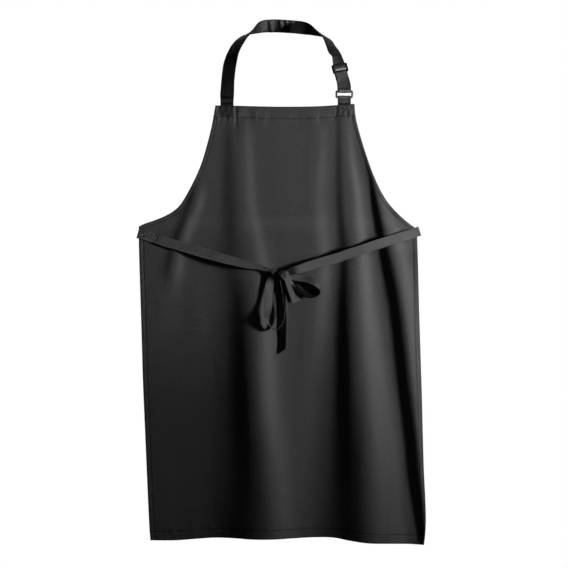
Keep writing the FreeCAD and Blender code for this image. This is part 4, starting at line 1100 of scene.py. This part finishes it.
# the strap's crown between the slider's bars: (down the run, in front of it)
CROWN = [(-6.4, 0.25), (-5.2, 0.5), (-3.4, 1.5), (-1.4, 2.15), (0.4, 2.25), (2.4, 1.8),
         (4.4, 0.85), (5.4, 0.4), (6.4, 0.2)]
# the crown's tone paints light on it: three times the webbing's own, darker at its edges
crown = strip(
    "slider_strap_crown", [slider_row(down, front, 25.6) for down, front in CROWN], WEBBING,
    step=0.8, columns=14, thickness=1.1, v_start=NECK_END_V - 30,
    relief=lambda u, v: 0.10 * field(u, v, 9, 7, seed=54) - 0.55 * (u / 12.8) ** 2,
    tone=lambda u, v: 3.0 * edge_tone(u))
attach(crown, "slider_block")

# the ring tab: up in front, over the ring's lower bar and down behind: (y, z)
TAB_FRONT = [(BASE_Y + 1.25, -20.0), (BASE_Y + 1.1, -8.0), (BASE_Y + 0.6, 3.0), (BASE_Y, 10.5),
             (BASE_Y, LOW_BAR_Z)]
TAB_BACK = [(BAR_Y + TURN_R - 0.2, LOW_BAR_Z - 1.6), (BASE_Y + 3.4, 9.0), (BASE_Y + 2.45, 3.0),
            (BASE_Y + 2.75, -8.0), (BASE_Y + 2.85, -20.0)]
tab_rows = [(RING_X, y, z, 1, 0, 0, STRAP_W) for y, z in TAB_FRONT]
tab_rows += half_turn(LOW_BAR_Z, 1)
tab_rows += [(RING_X, y, z, 1, 0, 0, STRAP_W) for y, z in TAB_BACK]
# its tone paints light on the webbing, a highlight where it turns over the ring's lower bar and
# shade around it
tab = strip("ring_tab", tab_rows, WEBBING, step=1.0, columns=12, thickness=1.35, thick=piped,
            relief=lambda u, v: 0.10 * field(u, v, 14, 12, seed=55),
            tone=banded(0.0, [(36.3, 4.5, 1.3), (39.4, -2.2, 1.4), (23.4, -2.1, 1.7),
                              (33.6, -0.8, 1.2)]))
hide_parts("ring_tab_loop", "ring_tab_sewn_end")
tab_stitches = edge_stitches("ring_tab_stitching", tab, v_from=22)
for ob in (tab, tab_stitches):
    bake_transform(ob)

# ----------------------------------------------------------------- waist ties
# origin: where the tape crosses the side edge; heading: from there inwards over the panel;
# fold: offset of its fold from the edge; join: where the sewn end meets the free tape;
# lead_y: its depth just before that. rows: (x, y, z, turn, width) on from the join.
# tone paints light and shade along the free tape by distance from the join: the left tie darker
# towards the knot, the right tie lighter and darkest at its end in the knot; end_painted_light
# paints light on the right tie's sewn end
TIES = [
    SimpleNamespace(
        side="left", origin=np.array([-289.8, 0, -253.9]),
        heading=unit(np.array([0.9633, 0, -0.2683])), fold=-1.2, y_front=-1.05, y_back=3.35,
        join=np.array([-283.5, -1.25, -255.65]), lead_y=-1.12, end_painted_light=1.0, seed=61,
        rows=[(-266, -2.8, -260.6, 0, 19), (-231.3, -6.2, -271.6, 0, 19),
              (-188, -9.6, -284.4, 0, 19), (-144.9, -14.4, -296.8, 0, 19),
              (-98, -18.8, -309.4, 0, 17.2), (-80, -20.6, -314.0, -6, 15.2),
              (-66, -21.6, -317.2, -10, 13.4), (-48, -22.2, -320.6, -16, 9.6),
              (-30, -22.4, -325.4, -14, 8.6), (-17.0, -22.5, -331.6, 10, 13),
              (-8.0, -22.5, -333.8, 0, 11)],
        tone=lambda run: 1.08 - 0.32 * ramp((run - 190) / 60),
        blend=(place(-287, 0, -254), place(-262, 0, -262))),
    SimpleNamespace(
        side="right", origin=np.array([265.6, 0, -248.9]),
        heading=unit(np.array([-0.952, 0, -0.306])), fold=-0.6, y_front=-1.15, y_back=3.45,
        join=np.array([257.5, -1.35, -251.5]), lead_y=-1.2, end_painted_light=2.3, seed=63,
        rows=[(247.5, -3.9, -254.7, 0, 19), (236, -7.2, -258.4, 0, 19),
              (222, -11.0, -262.9, 0, 19), (208, -14.0, -267.4, 0, 19),
              (188, -15.6, -273.8, 0, 19.2), (162, -16.4, -282.2, 0, 19.4),
              (135.8, -17.0, -290.9, 0, 19.5), (108, -17.9, -300.2, 0, 19.2),
              (82, -19.0, -307.9, 0, 18.8), (54, -20.2, -316.0, 0, 18.2),
              (29.7, -21.4, -323.6, -6, 17), (14.5, -22.4, -328.4, -8, 14.5),
              (2.0, -22.8, -332.2, 0, 12)],
        tone=lambda run: ((2.3 - 0.7 * ramp((run - 20) / 130))
                          * (1 - 0.85 * ramp((run - 240) / 16))),
        blend=(place(261, 0, -252), place(236, 0, -260))),
]


def build_anchor(tie):
    """The sewn end: behind the hem, round the side edge and on to the front."""
    radius = (tie.y_back - tie.y_front) / 2
    middle_y = (tie.y_back + tie.y_front) / 2
    inward = 27.0
    stations = [(s, tie.y_back) for s in (inward, inward * 0.66, inward * 0.33, 6.0, 2.0)]
    for degrees in range(0, 181, 30):
        angle = math.radians(degrees)
        stations.append((tie.fold + radius - radius * 1.15 * math.sin(angle),
                         middle_y + radius * math.cos(angle)))
    rows = []
    for distance, y in stations:
        x, _, z = tie.origin + tie.heading * distance
        rows.append((x, y, z, *tie.across, TAPE_W))
    lead = tie.join - tie.heading * 2.5
    rows += [(lead[0], tie.lead_y, lead[2], *tie.across, TAPE_W),
             (*tie.join, *tie.across, TAPE_W)]
    return strip("tie_%s_anchor" % tie.side, rows, TAPE, step=1.0, tone=constant(tie.end_painted_light))


def build_tie(tie):
    """The free tape, from the join to the knot."""
    rows = facing_rows([(*tie.join, 0, TAPE_W)] + tie.rows)
    rows[0] = (*tie.join, *tie.across, TAPE_W)

    def relief(u, v):
        wave = (0.35 * field(u, v, 60, 34, tie.seed) + 0.12 * field(u, v, 14, 16, tie.seed + 1))
        return wave * ramp((v - tie.join_v) / 22)

    return strip("waist_tie_%s" % tie.side, rows, TAPE, step=2.4, relief=relief,
                 v_start=tie.join_v, tone=lambda u, v: tie.tone(v - tie.join_v))


def build_tacks(tie):
    """Two dense bars of stitching on the back of the sewn end."""
    threads = Threads()
    back_y = tie.y_back + TAPE_T / 2
    back = np.array([0.0, 1.0, 0.0])
    for distance in (18.0, 21.5):
        seam = [tie.origin + tie.heading * distance + tie.across * u + back * (back_y + 0.02)
                for u in np.linspace(-7.5, 7.5, 40)]
        threads.line(seam, back, pitch=1.0, stitch=0.95, radius=0.3)
        for u in np.arange(-7.2, 7.3, 0.75):
            start = (tie.origin + tie.heading * (distance - 0.8) + tie.across * u
                     + back * (back_y + 0.1))
            threads.add(start, start + tie.heading * 1.6 + tie.across * 0.3, back, radius=0.2)
    return threads.build("tie_%s_bar_tacks" % tie.side)


for tie in TIES:
    tie.across = np.array([tie.heading[2], 0, -tie.heading[0]])
    anchor = build_anchor(tie)
    tie.join_v = PATHS[anchor.name].v[-1]
    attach(anchor, "apron_body")
    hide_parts("tie_%s_sewn_end" % tie.side)
for tie in TIES:
    tape = build_tie(tie)
    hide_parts("tie_%s" % tie.side)
    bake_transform(tape)
for tie in TIES:
    tacks = build_tacks(tie)
    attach(tacks, "apron_body")
    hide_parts("tie_%s_bar_tack" % tie.side)

# ----------------------------------------------------------------- bow
KNOT = np.array([-6.0, -22.0, -334.5])
knot_x, knot_y, knot_z = KNOT

# (x, y behind the knot, z, across x, y, z, width)
LOOP_LEFT = [
    (-9.5, 2.0, -332.5, 0.55, 0.1, 0.8, 9), (-18.5, 3.4, -336.5, 0.8, 0.1, 0.55, 12.5),
    (-26.0, 4.6, -344.5, 0.94, 0.12, 0.3, 15), (-30.4, 4.0, -356, 0.98, 0.02, 0.12, 16.5),
    (-32.4, 0.8, -372, 1.0, -0.08, 0.03, 17), (-33.0, -3.2, -390, 1.0, -0.12, 0.0, 17),
    (-34.4, -6.0, -406, 0.96, 0.1, 0.0, 15), (-35.6, -7.2, -421, 0.56, 0.8, -0.08, 12.5),
    (-30.8, -6.6, -434.4, 0.12, 0.98, 0, 10.5), (-24.0, -4.8, -441.6, 0.0, 1.0, 0.06, 10),
    (-16.2, -2.2, -442.8, 0.0, 1.0, 0.06, 10), (-8.4, -1.4, -436.8, 0.0, 1.0, 0, 9.5),
    (-3.0, 0.2, -426.6, -0.03, 1.0, 0, 9.5), (-0.8, 0.8, -415, -0.03, 1.0, 0, 9.5),
    (-0.6, 1.0, -403, -0.05, 1.0, 0, 9.5), (-3.2, 1.6, -386, -0.05, 1.0, 0, 9.5),
    (-7.0, 2.4, -363, -0.05, 1.0, 0, 9.5), (-9.2, 2.2, -346, 0.0, 1.0, 0, 8.5),
    (-8.0, 1.8, -337, 0.1, 1.0, 0, 8)]
LOOP_RIGHT = [
    (knot_x + 5.0, 2.5, -334.0, -0.1, 0.5, 0.8, 9),
    (knot_x + 11.9, 5.0, -337.6, -0.05, 0.62, 0.75, 12.5),
    (21.8, 8.2, -341.4, 0, 0.68, 0.73, 16), (37.6, 10.5, -343.1, 0, 0.7, 0.7, 18.4),
    (53.5, 11.4, -347.5, 0, 0.7, 0.7, 19), (63.2, 11.6, -354.2, 0, 0.7, 0.7, 19),
    (67.0, 11.6, -363.3, 0, 0.7, 0.7, 19), (61.6, 11.6, -371.6, 0, 0.7, 0.7, 19),
    (49.5, 11.4, -374.8, 0, 0.7, 0.7, 19), (35.6, 10.8, -371.0, 0, 0.7, 0.7, 18.4),
    (23.8, 9.2, -362.0, 0, 0.7, 0.7, 16), (11.9, 6.4, -349.5, 0.0, 0.7, 0.7, 12),
    (2.5, 3.4, -341.0, 0.0, 0.7, 0.7, 9)]
TAIL_LONG = [
    (knot_x, 4.0, knot_z - 2.0, 0.9, -0.2, 0.1, 9),
    (knot_x + 0.4, 7.6, knot_z - 10.6, 0.9, -0.34, 0, 12),
    (knot_x - 0.2, 9.6, -358, 0.92, -0.36, 0, 15), (-4.4, 10.2, -385, 0.93, -0.36, 0, 17.6),
    (-3.8, 10.2, -415, 0.93, -0.36, 0, 18.8), (-3.8, 10.0, -445, 0.93, -0.36, 0, 18.8),
    (-4.4, 9.8, -470, 0.93, -0.36, 0, 18.8), (-5.2, 9.6, -486.5, 0.93, -0.36, 0, 18.8)]
TAIL_SHORT = [
    (0.0, -3.5, -329.0, 0.93, 0.16, 0.2, 10.5), (3.0, -3.0, -337.5, 0.92, 0.24, 0.28, 12.5),
    (6.8, -0.5, -347.5, 0.9, 0.30, 0.32, 14.4), (11.4, 3.0, -359.5, 0.9, 0.32, 0.36, 16),
    (16.2, 6.4, -371.5, 0.88, 0.32, 0.38, 17.4), (20.0, 8.6, -381.0, 0.88, 0.32, 0.38, 18.5),
    (23.0, 10.0, -388.6, 0.88, 0.32, 0.38, 19)]
LONG_SHEAR = 0.72


def bow_tape(name, table, step=1.3, **settings):
    rows = [(x, knot_y + y, z, *rest) for x, y, z, *rest in table]
    return strip(name, rows, TAPE, step, **settings)


def end_hem(table):
    """Thickness of a tape whose end is turned over."""
    start = run_length(catmull(table, 1.0)[:, :3])[-1] - 9.5
    return lambda u, v: (1.0 + 0.85 * ramp((v - start) / 0.9 + 0.5)
                         - 0.35 * bell(v, start + 1.8, 0.7))


def end_row(name, ob, shear=0.0):
    """A row of stitches across both faces of a tail, 8 mm from its end."""
    path = PATHS[ob.name]
    end = path.v[-1]
    i = int(np.abs(path.v - (end - 8.0)).argmin())
    lean = shear * float(ramp((path.v[i] - (end - END_SLANT)) / END_SLANT))
    threads = Threads()
    for side in (1, -1):
        out = path.normal[i] * side
        seam = [path.centre[i] + path.across[i] * u - path.along[i] * u * lean
                + out * (path.thickness * 0.62) for u in np.linspace(-7.6, 7.6, 26)]
        threads.line(seam, out, pitch=2.5, stitch=1.9, radius=0.22)
    return threads.build(name)


def long_relief(u, v):
    """One edge of the long tail curls up."""
    curl = np.clip((u - 4.6 - 1.8 * ramp((v - 40) / 60)) / 4.0, 0, 1) ** 1.6
    return 0.2 * field(u, v, 40, 30, seed=75) + 2.8 * curl


loop_left = bow_tape("bow_loop_left_tape", LOOP_LEFT, crown=0.25,
                     relief=lambda u, v: 0.25 * field(u, v, 26, 22, seed=71))
# painted shade: a dimmer patch along the upper strand, and the lower strand almost black, as in
# the rim's shadow
loop_right = bow_tape("bow_loop_right_tape", LOOP_RIGHT, crown=0.25,
                      relief=lambda u, v: 0.22 * field(u, v, 26, 22, seed=73),
                      tone=lambda u, v: ((1 - 0.55 * bell(v, 50, 13))
                                         * (1 - 0.97 * ramp((v - 78) / 7))))
# painted shade: the tail almost black, with light only on its curled right edge
tail_long = bow_tape(
    "bow_tail_long_tape", TAIL_LONG, relief=long_relief, shear=LONG_SHEAR,
    tone=lambda u, v: 0.03 + 0.84 * ramp((u - 5.8 - 1.2 * ramp((v - 40) / 60)) / 1.2),
    thick=end_hem(TAIL_LONG))
# painted light: the short tail at 1.35 times the tape's tone
tail_short = bow_tape("bow_tail_short_tape", TAIL_SHORT, step=1.0, crown=-0.35,
                      relief=lambda u, v: 0.2 * field(u, v, 26, 22, seed=77),
                      tone=constant(1.35), thick=end_hem(TAIL_SHORT))
long_stitches = end_row("bow_tail_long_stitches", tail_long, LONG_SHEAR)
short_stitches = end_row("bow_tail_short_stitches", tail_short)
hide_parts("bow_loop_left")
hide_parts("bow_loop_right")
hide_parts("bow_tail_long", "bow_tail_long_hem")
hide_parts("bow_tail_short", "bow_tail_short_hem")
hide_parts("bow_tail_long_seam")
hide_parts("bow_tail_short_seam")
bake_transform(loop_left)
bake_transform(loop_right)
for ob in (tail_long, long_stitches):
    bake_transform(ob)
for ob in (tail_short, short_stitches):
    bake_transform(ob)


# ----------------------------------------------------------------- knot
def build_knot_core():
    """A rumpled ball that fills the knot."""
    rings, sides = 40, 56
    polar = np.linspace(0.02, math.pi - 0.02, rings)[:, None] + np.zeros((1, sides))
    around = np.linspace(0, 2 * math.pi, sides, endpoint=False)[None, :] + np.zeros((rings, 1))
    x, y, z = np.sin(polar) * np.cos(around), np.sin(polar) * np.sin(around), np.cos(polar)
    rumple = 1.0 + 0.10 * np.sin(5.0 * x + 7.0 * z + 1.0) + 0.05 * np.sin(11 * z - 6 * x)
    ball = np.stack([x * 8.6 * rumple, y * 5.2 * rumple, z * 7.6 * rumple], -1).reshape(-1, 3)
    uv = np.stack([(around * 7).ravel(), (polar * 9).ravel()], -1)
    # painted shade: the whole core at 0.4 of the tape's tone
    return make_object("bow_knot_core", ball + KNOT + np.array([0.5, -0.6, 0.2]),
                       tube_faces(rings, sides), uv, TAPE, tone=0.4)


def build_knot_band():
    """One turn of tape pulled tight round the core."""
    across = np.array([0.80, 0.0, 0.60])
    upward = np.array([-0.60, 0.0, 0.80])
    forward = np.array([0, -1, 0])
    rows = []
    for degrees in range(0, 361, 24):
        angle = math.radians(degrees)
        point = (KNOT + np.array([0.8, -0.6, 0.0]) + upward * (9.0 * math.sin(angle))
                 + forward * (6.4 * math.cos(angle)))
        rows.append((*point, *across, 12.5 - 1.5 * abs(math.sin(angle))))
    # painted shade: the band at 0.55 of the tape's tone
    return strip("bow_knot_band", rows, TAPE, step=0.9, columns=10, thickness=1.1, crown=0.5,
                 relief=lambda u, v: (0.55 * np.sin(u * 1.15 + 0.6 * np.sin(v / 6))
                                      + 0.2 * field(u, v, 8, 16, seed=81)),
                 tone=constant(0.55))


knot_core = build_knot_core()
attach(knot_core, "left_tie")
knot_band = build_knot_band()
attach(knot_band, "left_tie")
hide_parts("bow_knot")

# ----------------------------------------------------------------- parts kept from the CAD
PLASTIC_PARTS = ("strap_ring", "strap_slider")
for name in PLASTIC_PARTS:
    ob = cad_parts[name]
    ob.data.materials.clear()
    ob.data.materials.append(PLASTIC[0])
    ob.data.polygons.foreach_set("use_smooth", np.ones(len(ob.data.polygons), bool))
    ob.modifiers.new("edges", "EDGE_SPLIT").split_angle = math.radians(38)
# any other part still shown is dressed in the cloth
for name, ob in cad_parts.items():
    if name not in PLASTIC_PARTS and not ob.hide_render:
        ob.data.materials.clear()
        ob.data.materials.append(CLOTH[0])


# ----------------------------------------------------------------- studio (metres)
def build_floor():
    """A wide floor that the camera sees glow whiter with distance."""
    half, z = 40, -1.10
    mesh = bpy.data.meshes.new("studio_floor")
    mesh.from_pydata([(-half, -half, z), (half, -half, z), (half, half, z), (-half, half, z)],
                     [], [(0, 1, 2, 3)])
    floor = bpy.data.objects.new("studio_floor", mesh)
    scene.collection.objects.link(floor)
    material = bpy.data.materials.new("studio_floor")
    nodes = NodeTree(material)
    glow = nodes.node("ShaderNodeEmission")
    nodes.feed((1, 1, 1, 1), glow.inputs[0])
    nodes.feed(1.0, glow.inputs[1])
    matt = nodes.node("ShaderNodeBsdfDiffuse")
    nodes.feed((0.22, 0.22, 0.22, 1), matt.inputs[0])
    mix = nodes.node("ShaderNodeMixShader")
    position = nodes.node("ShaderNodeNewGeometry").outputs["Position"]
    distance = nodes.node("ShaderNodeVectorMath", operation="LENGTH")
    nodes.feed(position, distance.inputs[0])
    # the glow's share grows from 0.72 to 1 with distance from the scene's zero
    far = nodes.math("MULTIPLY_ADD", distance.outputs["Value"], 0.9, -0.75)
    far = nodes.math("MINIMUM", nodes.math("MAXIMUM", far, 0.72), 1.0)
    camera_ray = nodes.node("ShaderNodeLightPath").outputs["Is Camera Ray"]
    nodes.feed(nodes.math("MULTIPLY", far, camera_ray), mix.inputs[0])
    nodes.feed(matt.outputs[0], mix.inputs[1])
    nodes.feed(glow.outputs[0], mix.inputs[2])
    nodes.feed(mix.outputs[0], nodes.output.inputs[0])
    mesh.materials.append(material)


def build_world():
    """White to the camera, almost dark as a light."""
    world = bpy.data.worlds.new("studio")
    scene.world = world
    nodes = NodeTree(world, "ShaderNodeOutputWorld")
    seen = nodes.node("ShaderNodeBackground")
    ambient = nodes.node("ShaderNodeBackground")
    for node, colour, strength in ((seen, (1, 1, 1, 1), 1.0),
                                   (ambient, (0.93, 0.96, 1.0, 1), 0.010)):
        nodes.feed(colour, node.inputs[0])
        nodes.feed(strength, node.inputs[1])
    camera_ray = nodes.node("ShaderNodeLightPath").outputs["Is Camera Ray"]
    mix = nodes.node("ShaderNodeMixShader")
    for i, socket in enumerate((camera_ray, ambient.outputs[0], seen.outputs[0])):
        nodes.feed(socket, mix.inputs[i])
    nodes.feed(mix.outputs[0], nodes.output.inputs[0])


def area_light(name, aim, direction, distance, size, power, colour):
    """A square light at a distance from aim in the given direction, facing it."""
    light = bpy.data.lights.new(name, "AREA")
    light.shape = "RECTANGLE"
    light.size = size
    light.size_y = size
    light.energy = power
    light.color = colour
    ob = bpy.data.objects.new(name, light)
    scene.collection.objects.link(ob)
    outward = Vector(direction).normalized()
    ob.location = aim + outward * distance
    ob.rotation_mode = "QUATERNION"
    ob.rotation_quaternion = outward.to_track_quat("Z", "Y")
    return ob


def build_lights():
    cool = (0.95, 0.97, 1.0)
    middle = Vector((0.0, -0.092, -0.50))
    key_aim = Vector((0.0, -0.09, -0.10))
    to_key = Vector((1.97, -1.08, -0.30)) - key_aim
    key = area_light("key", key_aim, to_key, distance=to_key.length, size=0.3, power=9.8,
                     colour=(1.0, 0.99, 0.97))
    key.data.spread = math.radians(60)
    area_light("front_fill", middle, (0.10, -1.0, 0.35), distance=4.0, size=2.2, power=1.5,
               colour=cool)
    area_light("rear_fill", middle, (0.0, 0.75, 1.0), distance=3.5, size=2.0, power=62,
               colour=cool)


def build_camera():
    """A long lens straight in front."""
    distance, view_width = 40.0, 1.12464
    aim_x, aim_z = 0.00602, -0.49543
    data = bpy.data.cameras.new("camera")
    camera = bpy.data.objects.new("camera", data)
    scene.collection.objects.link(camera)
    data.sensor_width = 36.0
    data.lens = data.sensor_width * distance / view_width
    data.clip_start = 0.1
    data.clip_end = 100.0
    camera.location = (aim_x, SHIFT[1] / 1000 - distance, aim_z)
    camera.rotation_euler = (math.radians(90), 0, 0)
    scene.camera = camera


build_floor()
build_world()
build_lights()
build_camera()
scene.view_settings.view_transform = "Standard"
scene.view_settings.look = "None"
scene.view_settings.exposure = 0.0
scene.view_settings.gamma = 1.0
